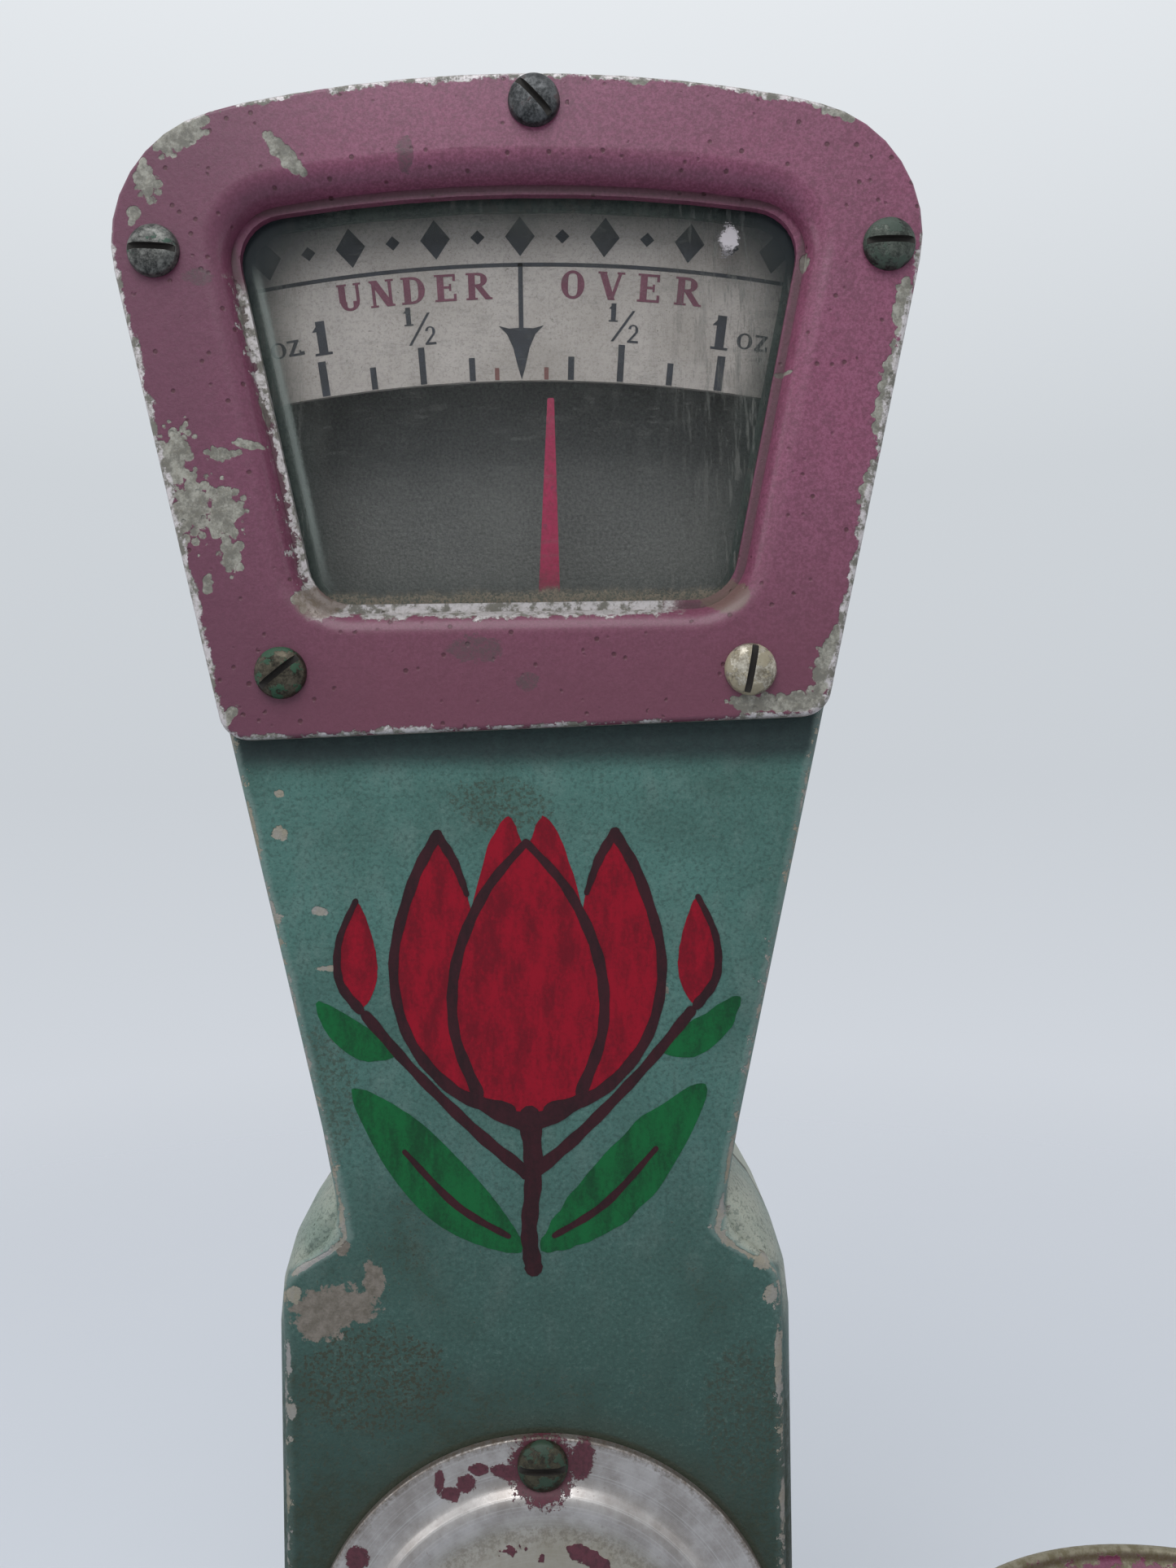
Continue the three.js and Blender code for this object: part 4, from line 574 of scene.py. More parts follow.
shell = slab(
    tower_corners(TOWER_FOOT), TOWER_SEAM, TOWER_FRONT, (0.9, 0.9), (TOWER_EDGE, TOWER_EDGE), steps=6
)
hump = slab(hump_corners(TOWER_FOOT), TOWER_SEAM, TOWER_FRONT + 1.8, None, (HUMP_FLARE, HUMP_DEPTH), steps=10)
flange = slab(
    [
        (-FLANGE_HALF, TOWER_FOOT), (FLANGE_HALF, TOWER_FOOT),
        (FLANGE_HALF, TOWER_FOOT + FLANGE_RISE, FLANGE_ROUND),
        (-FLANGE_HALF, TOWER_FOOT + FLANGE_RISE, FLANGE_ROUND),
    ],
    TOWER_SEAM, FLANGE_FRONT, None, (FLANGE_ROUND, FLANGE_ROUND),
)
hollow = slab(tower_corners(0, TOWER_WALL), TRAY_BACK, TOWER_FRONT + TOWER_WALL)
room_half = HUMP_HALF - TOWER_WALL - HUMP_FLARE
room = slab(
    [
        (-room_half, 0), (room_half, 0),
        (room_half, ROOM_TOP, ROOM_CORNER), (-room_half, ROOM_TOP, ROOM_CORNER),
    ],
    TOWER_SEAM + 5, TOWER_FRONT + TOWER_WALL,
)
mouth = slab(head_corners(MOUTH_FOOT, TOWER_WALL), TRAY_BACK, TOWER_FRONT - 5)
cover_hole = spin_profile(
    [(0, 0), (COVER_HOLE_RADIUS, 0), (COVER_HOLE_RADIUS, 30), (0, 30)],
    (COVER_PLACE[0], TRAY_BACK, COVER_PLACE[1]), "front", 48,
)
tower = carve(shell, [hump, flange], [hollow, room, mouth, cover_hole])
add_piece("painted_tower", tower, sage, replaces=["tower_casting"])


# Bezel frame: a zinc casting 3 mm thick that closes the head. Its window edge rolls back to a
# narrow ledge. It is sprayed mauve over olive primer and held by five round-head screws.
BEZEL_BACK = TOWER_FRONT - 0.1
BEZEL_FRONT = BEZEL_BACK - 3.0
BEZEL_LIP = BEZEL_FRONT + 6.0
BEZEL_FOOT, BEZEL_FOOT_SLOPE, BEZEL_FOOT_CORNER, BEZEL_EDGE = 299.8, 1.5, 5.0, 0.9
WINDOW_ROLL, WINDOW_LEDGE = 4.6, 1.6
WINDOW_SIDE, WINDOW_SIDE_HALF, WINDOW_FOOT, WINDOW_FOOT_HALF = 378.6, 48.3, 322.2, 36.57
WINDOW_CROWN, WINDOW_CROWN_RADIUS, WINDOW_CORNER = 394.2, 290.0, 8.0
WINDOW_SLOPE = (WINDOW_SIDE_HALF - WINDOW_FOOT_HALF) / (WINDOW_SIDE - WINDOW_FOOT)
MAUVE = srgb(128, 63, 91)
MAUVE_DARK = srgb(100, 50, 70)
MAUVE_PALE = srgb(148, 87, 114)
ALUMINIUM = srgb(196, 190, 191)


def window_half(z, margin=0.0):
    return WINDOW_FOOT_HALF + WINDOW_SLOPE * (z - WINDOW_FOOT) + margin * math.hypot(1, WINDOW_SLOPE)


def window_corners(margin=0.0):
    corner, foot = WINDOW_CORNER + margin, WINDOW_FOOT - margin
    crown = crown_corners(
        WINDOW_CROWN + margin, WINDOW_CROWN_RADIUS + margin, lambda z: window_half(z, margin), corner, 10
    )
    return [(-window_half(foot, margin), foot, corner), (window_half(foot, margin), foot, corner)] + crown


plate = slab(
    head_corners(BEZEL_FOOT, 0.0, BEZEL_FOOT_CORNER, BEZEL_FOOT_SLOPE),
    BEZEL_BACK, BEZEL_FRONT, None, (BEZEL_EDGE, BEZEL_EDGE), steps=6,
)
rim = slab(window_corners(WINDOW_ROLL + WINDOW_LEDGE), BEZEL_LIP, BEZEL_FRONT)
dish = bmesh.new()
dish_face = draw_face(dish, window_corners(WINDOW_ROLL + WINDOW_LEDGE)[::-1], BEZEL_FRONT)
STEPS = 8
for i in range(STEPS):
    low, high = (math.pi / 2 * (i + side) / STEPS for side in (0, 1))
    bmesh.ops.inset_region(
        dish, faces=[dish_face], use_boundary=True, use_even_offset=True,
        thickness=WINDOW_ROLL * MM * (math.sin(high) - math.sin(low)),
        depth=WINDOW_ROLL * MM * (math.cos(low) - math.cos(high)),
    )
made = bmesh.ops.extrude_edge_only(dish, edges=[edge for edge in dish.edges if edge.is_boundary])["geom"]
lid = [part for part in made if isinstance(part, bmesh.types.BMVert)]
bmesh.ops.translate(dish, vec=(0, -5 * MM, 0), verts=lid)
bmesh.ops.contextual_create(dish, geom=[edge for edge in dish.edges if edge.is_boundary])
bmesh.ops.recalc_face_normals(dish, faces=dish.faces[:])
opening = slab(window_corners(), BEZEL_LIP + 3, BEZEL_FRONT - 5)
bezel = carve(plate, [rim], [dish, opening])


class Bezel(Tower):
    """A finish that also knows how far a point is from the window."""

    def window_distance(self):
        slope = math.hypot(1, WINDOW_SLOPE)
        side = (abs(self.x) - (self.z - WINDOW_FOOT) * WINDOW_SLOPE - WINDOW_FOOT_HALF) / slope
        crown = self.x.away(self.x, 0, self.z - (WINDOW_CROWN - WINDOW_CROWN_RADIUS)) - WINDOW_CROWN_RADIUS
        foot = WINDOW_FOOT - self.z
        far = side.node("Math", {"operation": "SMOOTH_MAX"}, {0: side, 1: crown, 2: 6.0})
        return far.node("Math", {"operation": "SMOOTH_MAX"}, {0: far, 1: foot, 2: 6.0})


BEZEL_BARE = [
    (-59.6, 347.6, 3.4, 5.6, 12, 1.9), (-56.6, 338.6, 3.8, 7.0, 10, 1.9), (-51.2, 337.6, 3.8, 5.2, 0, 1.9),
    (-51.2, 347.8, 3.2, 1.3, 0, 1.9), (-50.0, 330.6, 2.6, 3.4, 0, 1.9), (-54.2, 325.4, 1.0, 1.8, 0, 1.7),
    (-39.8, 399.4, 1.7, 5.6, -44, 0.9), (-57.5, 403.5, 6.5, 3.2, -38, 1.5),
    (-63.6, 395.0, 2.2, 4.2, -20, 1.5),
    (66.5, 372.0, 1.8, 6.0, 13, 1.4), (63.3, 357.0, 1.5, 9.0, 13, 1.5), (60.6, 340.5, 2.0, 5.5, 13, 1.5),
    (53.6, 311.5, 2.8, 8.0, 24, 1.1), (47.0, 303.6, 7.0, 2.0, -3, 1.3), (40.0, 303.5, 5.0, 1.8, 0, 1.4),
    (55.0, 406.0, 5.0, 1.5, 24, 1.4), (21.5, 411.6, 2.6, 1.1, 0, 1.2), (38.5, 410.4, 7.0, 1.2, 12, 1.4),
    (-51.0, 302.5, 2.6, 1.2, -45, 1.3), (-37.8, 322.6, 2.2, 2.2, 0, 1.2), (-47.8, 371.0, 0.9, 9.0, -12, 1.5),
    (-44.9, 357.0, 0.7, 5.0, -12, 1.5), (50.2, 381.0, 0.8, 2.0, 0, 1.2), (-66.0, 389.5, 1.2, 2.2, 0, 1.3),
    (46.2, 361.5, 1.5, 0.5, 10, 1.0), (-46.8, 349.5, 2.6, 0.9, 5, 1.4),
]
BEZEL_STAINS = [
    (-19.1, 399.3, 1.5, 3.0, 0, 0.9), (0.8, 307.8, 2.2, 1.8, 0, 0.9), (-8.0, 313.5, 5.0, 2.4, 0, 1.2),
    (21.5, 412.0, 3.0, 1.2, 0, 1.2), (-55.0, 378.5, 2.4, 1.6, 0, 1.2),
]

mauve = Bezel("mauve_lacquer", roughness=0.38, specular_ior_level=0.38, coat_roughness=0.25)
cloud = mauve.mottle(22, detail=4, seed=1)
grain = mauve.mottle(0.55, detail=4, roughness=0.7, seed=2)
veins = mauve.mottle(1.6, detail=6, roughness=0.72, seed=3)
grit = mauve.mottle(2.4, detail=5, roughness=0.75, seed=4)
window_gap = mauve.window_distance()
outer = mauve.outline_distance()
foot_gap = mauve.z - (BEZEL_FOOT - 0.3) - mauve.x * 0.027
outer = outer.node("Math", {"operation": "SMOOTH_MIN"}, {0: outer, 1: foot_gap, 2: 4.0})
edge = mauve.from_edge(outer, BEZEL_FRONT)
lip = mauve.from_edge(window_gap, BEZEL_FRONT + 5.2)
# Painted shade: the bezel darker towards its foot.
lower = 1 - mauve.z.between(300, 345)
tone = cloud.between(0.3, 0.7).mix(MAUVE, srgb(116, 62, 84))
tone = (grain.between(0.42, 0.66) * 0.6).mix(tone, MAUVE_PALE)
tone = ((0.5 - grain).between(0.0, 0.14) * 0.5).mix(tone, MAUVE_DARK)
tone = (veins.between(0.5, 0.62) * (1 - veins.between(0.62, 0.72)) * 0.45).mix(tone, MAUVE_DARK)
tone = (lower * 0.85).mix(tone, srgb(98, 50, 66))
# Painted shade: the bezel darker towards its left side.
tone = ((1 - mauve.x.between(-62, -20)) * 0.75).mix(tone, srgb(92, 46, 66))
pit_cells = mauve.cells(3.1, seed=1)
pit_choice = mauve.mottle(3.5, detail=1, seed=7).between(0.43, 0.48)
pits = (1 - pit_cells.between(0.08, 0.18)) * pit_choice
tone = (pits * 0.85).mix(tone, srgb(70, 22, 34))
stains = pits * 0
for x, z, half_x, half_z, tilt, rough_by in BEZEL_STAINS:
    stains = stains | mauve.blot(x, z, half_x, half_z, tilt, grit, rough_by * 1.8)
tone = (stains * (0.34 + grain.between(0.4, 0.6) * 0.5)).mix(tone, srgb(78, 58, 62))
rub = mauve.mottle(6, detail=5, roughness=0.72, seed=5)
on_front = 1 - mauve.y.between(BEZEL_FRONT + 0.6, BEZEL_FRONT + 1.0)
wear = (rub * 5.2 + grit * 1.0 - edge).between(1.95, 2.3) | (rub * 3.6 - lip).between(2.05, 2.3)
foot_lip = 1 - (WINDOW_FOOT - mauve.z + (rub - 0.5) * 5 + (grit - 0.5) * 3).between(2.6, 3.2)
foot_lip = foot_lip * (1 - mauve.z.between(WINDOW_FOOT - 0.2, WINDOW_FOOT + 1.0))
foot_lip = foot_lip * window_gap.between(-1.0, -0.4)
foot_lip = foot_lip * (1 - abs(mauve.x + grit * 10).between(29, 34))
side_lip = 1 - (window_gap + (rub - 0.5) * 9 + (grit - 0.5) * 4).between(1.2, 1.7)
side_lip = side_lip * (1 - mauve.z.between(376, 381)) * (1 - mauve.x.between(-34, -28))
side_lip = side_lip * window_gap.between(-1.0, -0.4)
foot_lip = foot_lip | side_lip
wear = wear | foot_lip
crackle = grit * 0.5 + mauve.cells(1.5, seed=5) * 0.55
for x, z, half_x, half_z, tilt, rough_by in BEZEL_BARE:
    wear = wear | mauve.blot(x, z, half_x, half_z, tilt, crackle, rough_by) * (
        on_front | window_gap.between(7, 4)
    )
side_wall = mauve.y.between(BEZEL_FRONT + 0.95, BEZEL_FRONT + 1.3) * outer.between(1.5, 0.6)
wear = wear | side_wall * rub.between(0.30, 0.42)
primer = (grit * 0.6 + veins * 0.5).between(0.5, 0.62)
worn_through = (rub * 3.8 + grit - edge).between(1.1, 1.5) | (rub * 2.4 - lip).between(1.2, 1.6)
worn_through = worn_through | foot_lip * 0.8
primer = primer | (1 - worn_through)
primer_tone = (grit * 0.7 + veins * 0.4).between(0.42, 0.62).mix(srgb(158, 156, 143), srgb(94, 92, 80))
bare = (primer * 0.9).mix(ALUMINIUM, primer_tone)
bare = (grain.between(0.45, 0.7) * 0.4).mix(bare, srgb(120, 114, 98))
tone = wear.mix(tone, bare)
# Darker in the crease where the window's roll meets the ledge, except on the worn foot lip.
crease = 1 - abs(window_gap - 1.0).between(0.2, 1.6)
crease_darkening = crease * mauve.y.between(BEZEL_FRONT + 4.2, BEZEL_FRONT + 4.6) * 0.7
tone = (crease_darkening * (1 - foot_lip)).mix(tone, srgb(70, 52, 52))
corner_dirt = mauve.blot(-35.5, 322.5, 5.5, 3.5, -30, grit, 1.3)
corner_dirt = corner_dirt | mauve.blot(35.5, 322.5, 5.5, 3.5, 30, grit, 1.3)
tone = (corner_dirt * window_gap.between(3.4, 2.6) * 0.7).mix(tone, srgb(104, 88, 74))
mauve.link("Base Color", tone)
mauve.link("Roughness", 0.46 + grain * 0.16 - wear * 0.02)
mauve.link("Metallic", wear * (1 - primer) * 0.5)
mauve.link("Coat Weight", (1 - wear) * 0.3)
mauve.bump(grain * 0.3 + veins * 0.6 - pits * 0.9 + (1 - wear) * 0.55 + cloud * 1.2, 0.18)
add_piece("mauve_bezel", bezel, mauve, replaces=["bezel_frame"])

# Round-head screws: slotted steel screws that have been loosened and painted over many times,
# no two alike now: dark bronze, greenish, and one replaced by a bright one.
HEAD_RADIUS, HEAD_RISE, SLOT_WIDTH, SLOT_DEPTH = 4.5, 2.5, 1.15, 1.15
SHANK_RADIUS, SHANK_LENGTH = 1.7, 9.0


def screw_mesh(place, way, slot_angle, radius=HEAD_RADIUS, length=SHANK_LENGTH):
    """A slotted screw with its seat at the place, its head to the front or to the back."""
    rise = HEAD_RISE * radius / HEAD_RADIUS
    profile = [
        (0, -length), (SHANK_RADIUS, -length), (SHANK_RADIUS, 0.1), (radius, 0.1),
        (radius, rise * 0.42), (radius * 0.74, rise * 0.86), (radius * 0.4, rise * 0.985), (0, rise),
    ]
    bends = [(6, radius * 0.2), (5, radius * 0.24), (4, radius * 0.2)]
    bm = spin_profile(profile, (0, 0, 0), "up", 48, bends)
    bm = carve(bm, cut=[block((3 * radius, SLOT_WIDTH, 2 * SLOT_DEPTH), (0, 0, rise + 0.15))])
    for face in bm.faces:
        at = face.calc_center_median()
        face.material_index = int(abs(at.y) < 0.51 * SLOT_WIDTH * MM and at.z > (rise - SLOT_DEPTH) * MM)
    turn(bm, slot_angle, "Z")
    turn(bm, 90 if way == "front" else -90, "X")
    move(bm, *place)
    return bm


def screw_finish(name, metal, dark, trace, amount, shine=0.8):
    """Worn steel, mottled dark, with traces of the paint that was brushed over it."""
    finish = Finish(name, roughness=0.4)
    fog = finish.mottle(2.2, detail=4, roughness=0.7, seed=2)
    grit = finish.mottle(0.5, detail=4, roughness=0.7, seed=3)
    tone = (fog * 0.7 + grit * 0.45).between(0.42, 0.75).mix(dark, metal)
    painted = finish.mottle(3.4, detail=4, roughness=0.65, seed=5) + grit * 0.12
    painted = painted.between(1.06 - amount, 1.1 - amount)
    tone = (painted * 0.85).mix(tone, trace)
    finish.link("Base Color", tone)
    finish.link("Roughness", 0.34 + grit * 0.3 + painted * 0.15)
    finish.link("Metallic", (1 - painted) * shine)
    finish.bump(grit * 0.6 + painted * 0.8 + fog, 0.05)
    return finish


BRONZE = srgb(98, 99, 100)
BRONZE_DARK = srgb(34, 36, 37)
GREEN_TRACE = srgb(38, 74, 56)
bronze = screw_finish("bronzed_screw", BRONZE, BRONZE_DARK, srgb(66, 48, 48), 0.42)
greened = screw_finish("greened_screw", srgb(122, 122, 118), srgb(46, 47, 46), GREEN_TRACE, 0.36)
grey_green = screw_finish("grey_green_screw", srgb(90, 95, 88), srgb(40, 44, 40), srgb(50, 66, 54), 0.5)
green_painted = screw_finish(
    "green_painted_screw", srgb(88, 82, 70), srgb(40, 37, 31), srgb(12, 66, 40), 0.45, 0.8
)
bright = screw_finish("bright_screw", srgb(196, 190, 176), srgb(112, 104, 88), srgb(150, 140, 116), 0.5, 0.7)
# Screw slots: a dark material for old dirt and for painted shade in the recess.
slot_grime_and_shade = Finish("slot_grime_and_shade", roughness=0.8)
slot_grime_and_shade.link("Base Color", slot_grime_and_shade.mottle(0.6, detail=4).mix(srgb(16, 14, 12), srgb(44, 38, 32)))


def add_screw(name, bm, finish, replaces):
    """A screw whose slot is filled with old dirt and darkened as painted shade."""
    add_piece(name, bm, finish, replaces=replaces).data.materials.append(slot_grime_and_shade.material)


BEZEL_SCREWS = [
    ("top", 3.3, 407.9, -47, bronze), ("left", -62.6, 382.9, -3, greened),
    ("right", 64.2, 382.3, 0, grey_green),
    ("lower_left", -41.7, 309.9, 38, green_painted), ("lower_right", 39.3, 309.4, 79, bright),
]
for name, x, z, slot_angle, finish in BEZEL_SCREWS:
    add_screw(
        f"bezel_screw_round_{name}", screw_mesh((x, BEZEL_FRONT, z), "front", slot_angle), finish,
        [f"bezel_screw_{name}"],
    )


def coat(node, finish):
    """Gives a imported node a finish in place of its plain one."""
    for material_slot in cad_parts[node].material_slots:
        material_slot.material = finish.material


# Window glass: one flat pane, scratched by wiping and dusty at its edges, held by a thin steel
# frame that is bent round its back and painted over in green with the casting. Its edges and
# upper corners are darkened as painted shadow, and its left edge carries a painted highlight.
glass = Finish("dusty_glass_painted_shade", roughness=0.12, specular_ior_level=0.16)
swirl = glass.mottle(14, detail=5, roughness=0.65, stretch=(1.6, 1, 0.7), seed=1)
speck = glass.mottle(0.36, detail=3, roughness=0.8, seed=2)
scrape = glass.mottle(1.1, detail=3, roughness=0.7, stretch=(1, 1, 0.12), seed=3)
scrape_slant = glass.mottle(1.6, detail=3, roughness=0.7, stretch=(0.2, 1, 0.9), seed=4)
pane = Bezel.window_distance(glass)
# Dust thickening towards the pane's edges, darkened there as painted shadow from the bezel.
rim_dust_and_shadow = (pane + 9.0 + swirl * 5).between(3.0, 13.0)
flake = glass.blot(37.6, 386.6, 1.9, 2.6, 10, scrape_slant * 0.6 + speck * 0.5, 3.4)
# Painted shadow in the upper corners of the pane.
corners = (abs(glass.x) + (glass.z - 380) * 0.8 + (swirl - 0.5) * 8).between(36, 56)
# Painted highlight: a pale strip along the left edge of the pane.
painted_edge_glint = (1 - abs(pane + 2.2 + (speck - 0.5) * 1.2).between(0.3, 1.1)) * glass.x.between(-32, -38)
painted_edge_glint = painted_edge_glint * glass.z.between(384, 378)
veil_of_dust_shadow_and_glint = 0.05 + rim_dust_and_shadow * 0.28 + swirl.between(0.5, 0.8) * 0.12
veil_of_dust_shadow_and_glint = veil_of_dust_shadow_and_glint + scrape.between(0.53, 0.66) * (glass.x * 0.022 | abs(glass.x) * 0.015).between(0.4, 0.9) * 0.42
veil_of_dust_shadow_and_glint = veil_of_dust_shadow_and_glint + scrape_slant.between(0.57, 0.7) * 0.16 + speck.between(0.6, 0.7) * 0.3
caked = 1 - (glass.z - WINDOW_FOOT + (speck - 0.5) * 3 + (swirl - 0.5) * 5).between(1.4, 3.4)
veil_of_dust_shadow_and_glint = veil_of_dust_shadow_and_glint | caked * 0.85 | corners * 0.75 | painted_edge_glint * 0.5
dust_shadow_and_glint_tone = (rim_dust_and_shadow * (1 - scrape.between(0.54, 0.64))).mix(srgb(104, 105, 100), srgb(60, 68, 65))
# Painted shadow in the upper corners.
dust_shadow_and_glint_tone = corners.mix(dust_shadow_and_glint_tone, srgb(42, 48, 52))
# Painted highlight along the left edge.
dust_shadow_and_glint_tone = painted_edge_glint.mix(dust_shadow_and_glint_tone, srgb(134, 142, 136))
dust_shadow_and_glint_tone = caked.mix(dust_shadow_and_glint_tone, speck.between(0.4, 0.6).mix(srgb(128, 118, 104), srgb(84, 88, 80)))
glass.link("Alpha", veil_of_dust_shadow_and_glint | flake)
glass.link("Base Color", flake.mix(dust_shadow_and_glint_tone, srgb(196, 190, 192)))
glass.link("Roughness", 0.14 + swirl * 0.2 + flake * 0.4)
glass.bump(speck * 0.2 + flake * 2.0, 0.04)
coat("window_glass", glass)

retainer = Finish("painted_retainer", roughness=0.5, metallic=0.2)
grit = retainer.mottle(0.8, detail=4, roughness=0.7)
tone = grit.between(0.35, 0.7).mix(srgb(96, 108, 100), srgb(62, 74, 68))
retainer_dirt = retainer.mottle(5, detail=4).between(0.55, 0.65) * 0.7
retainer.link("Base Color", retainer_dirt.mix(tone, srgb(110, 104, 96)))
retainer.link("Roughness", 0.45 + grit * 0.25)
retainer.bump(grit, 0.05)
coat("glass_retainer", retainer)


# Dial chart: a printed tin plate with an arc-shaped lower edge, yellowed and speckled, held to
# two bosses by small brass screws. The print is a thin layer of ink: scale, words and a border.
CHART_FACE = -9.6
PIVOT_Z = 113.0
INK_RISE = 0.06
chart = Finish("speckled_chart", roughness=0.5)
cloud = chart.mottle(18, detail=4, seed=1)
speck = chart.mottle(0.45, detail=3, roughness=0.8, seed=2)
spot = chart.mottle(1.0, detail=3, roughness=0.7, seed=3)
tone = cloud.between(0.3, 0.7).mix(srgb(190, 182, 175), srgb(170, 162, 154))
tone = (speck.between(0.5, 0.62) * 0.5).mix(tone, srgb(134, 128, 120))
tone = (spot.between(0.69, 0.73) * 0.75).mix(tone, srgb(86, 82, 72))
chart.link("Base Color", tone)
chart.link("Roughness", 0.42 + speck * 0.2)
chart.bump(speck * 0.5 + cloud, 0.03)
coat("dial_chart", chart)


def ink(name, colour, fade):
    finish = Finish(name, roughness=0.55)
    speck = finish.mottle(0.4, detail=4, roughness=0.8, seed=4)
    cloud = finish.mottle(4, detail=3, seed=5)
    finish.link("Base Color", (speck * 0.6 + cloud * 0.5).between(0.5, 0.72).mix(colour, fade))
    finish.link("Roughness", 0.45 + speck * 0.25)
    finish.bump(speck, 0.01)
    return finish


dark_ink = ink("blue_black_ink", srgb(16, 21, 32), srgb(38, 44, 56))
maroon_ink = ink("maroon_ink", srgb(100, 46, 66), srgb(126, 72, 90))
red_ink = ink("faded_red_ink", srgb(112, 70, 66), srgb(128, 88, 82))


def on_dial(flat, radius, degrees):
    """Sets points drawn around zero on the chart: at a radius, turned to that reading."""
    swing = Matrix.Rotation(math.radians(degrees), 3, "Y")
    centre = Vector((0, CHART_FACE * MM, PIVOT_Z * MM))
    return [centre + swing @ Vector((x * MM, -INK_RISE * MM, (radius + z) * MM)) for x, z in flat]


def ink_shape(bm, flat, radius, degrees):
    bm.faces.new([bm.verts.new(point) for point in on_dial(flat, radius, degrees)])


def ink_arc(bm, low, high, reach, steps=40):
    """A line of ink along the dial between two radii."""
    ends = on_dial([(0, 0)], low, -reach) + on_dial([(0, 0)], high, -reach)
    verts = [bm.verts.new(point) for point in ends]
    edge = bm.edges.new(verts)
    bmesh.ops.spin(
        bm, geom=[*verts, edge], cent=(0, 0, PIVOT_Z * MM), axis=(0, 1, 0), dvec=(0, 0, 0),
        angle=math.radians(2 * reach), steps=steps,
    )


def add_print(name, bm, finish, thickness=INK_RISE - 0.02):
    """Gives flat ink or paint its thickness, towards the surface that it lies on."""
    bmesh.ops.remove_doubles(bm, verts=bm.verts[:], dist=1e-7)
    bmesh.ops.recalc_face_normals(bm, faces=bm.faces[:])
    for face in bm.faces:
        if face.normal.y > 0:
            face.normal_flip()
    made = bmesh.ops.extrude_face_region(bm, geom=bm.faces[:], use_keep_orig=True)["geom"]
    lower = [part for part in made if isinstance(part, bmesh.types.BMVert)]
    bmesh.ops.translate(bm, verts=lower, vec=(0, thickness * MM, 0))
    bmesh.ops.recalc_face_normals(bm, faces=bm.faces[:])
    add_piece(name, bm, finish)


def bowl(start, end, centre, reach, weight, count=14):
    """A curved stroke that is thin at its ends and heavy at its side."""
    outer, inner = [], []
    for i in range(count + 1):
        angle = math.radians(start + (end - start) * i / count)
        swell = weight * (0.35 + 0.65 * abs(math.cos(angle)))
        outer.append((centre[0] + reach[0] * math.cos(angle), centre[1] + reach[1] * math.sin(angle)))
        inner.append((centre[0] + (reach[0] - swell) * math.cos(angle),
                      centre[1] + (reach[1] - 0.4 * weight) * math.sin(angle)))
    return outer + inner[::-1]


def stroke(x, weight, low=0.0, high=1.0, serif=0.09):
    """An upright stroke, with a flat serif at each end that has one."""
    parts = [[(x - weight / 2, low), (x + weight / 2, low), (x + weight / 2, high), (x - weight / 2, high)]]
    for z in (low, high - 0.07) if serif else ():
        reach = weight / 2 + serif
        parts.append([(x - reach, z), (x + reach, z), (x + reach, z + 0.07), (x - reach, z + 0.07)])
    return parts


def slant(x_low, x_high, weight, low=0.0, high=1.0):
    return [
        (x_low - weight / 2, low), (x_low + weight / 2, low),
        (x_high + weight / 2, high), (x_high - weight / 2, high),
    ]


def bar(low_x, high_x, z, weight=0.09):
    return [(low_x, z), (high_x, z), (high_x, z + weight), (low_x, z + weight)]


THICK, THIN = 0.25, 0.12
ROMAN = {
    "U": [bowl(180, 360, (0, 0.34), (0.36, 0.35), THICK)]
    + stroke(-0.27, THICK, 0.32)[:1] + stroke(0.31, THIN, 0.32)[:1]
    + [bar(-0.45, -0.08, 0.93, 0.07), bar(0.17, 0.45, 0.93, 0.07)],
    "N": stroke(-0.3, THIN) + stroke(0.31, THIN) + [slant(0.3, -0.3, THICK + 0.04)],
    "D": stroke(-0.26, THICK) + [
        bowl(-90, 90, (-0.06, 0.5), (0.46, 0.5), THICK), bar(-0.26, -0.05, 0), bar(-0.26, -0.05, 0.91),
    ],
    "E": stroke(-0.22, THICK) + [
        bar(-0.22, 0.34, 0), bar(-0.22, 0.32, 0.91), bar(-0.22, 0.16, 0.47),
        bar(0.26, 0.36, 0, 0.26), bar(0.24, 0.34, 0.74, 0.26), bar(0.1, 0.18, 0.38, 0.26),
    ],
    "R": stroke(-0.26, THICK) + [
        bowl(-90, 90, (-0.04, 0.74), (0.36, 0.26), THICK), bar(-0.26, -0.03, 0.91), bar(-0.26, -0.03, 0.48),
        slant(0.36, -0.02, THICK, 0, 0.5), bar(0.24, 0.5, 0, 0.07),
    ],
    "O": [bowl(90, 270, (0, 0.5), (0.42, 0.51), THICK), bowl(-90, 90, (0, 0.5), (0.42, 0.51), THICK)],
    "V": [
        slant(0.02, -0.32, THICK), slant(0.02, 0.33, THIN),
        bar(-0.48, -0.16, 0.93, 0.07), bar(0.2, 0.48, 0.93, 0.07),
    ],
    "1": stroke(0, THICK + 0.02, serif=0.12)[:2] + [slant(-0.2, 0.02, 0.12, 0.7, 0.97)],
    "o": [bowl(90, 270, (0, 0.32), (0.32, 0.33), 0.16), bowl(-90, 90, (0, 0.32), (0.32, 0.33), 0.16)],
    "z": [
        bar(-0.24, 0.26, 0), bar(-0.26, 0.24, 0.56),
        slant(-0.16, 0.16, 0.17, 0.04, 0.6), bar(0.2, 0.28, 0, 0.2),
    ],
    ".": [bar(-0.36, -0.22, 0, 0.14)],
    "2": [
        bowl(-60, 170, (0, 0.72), (0.28, 0.28), 0.16), slant(-0.22, 0.16, 0.14, 0.08, 0.56),
        bar(-0.3, 0.3, 0, 0.12),
    ],
}


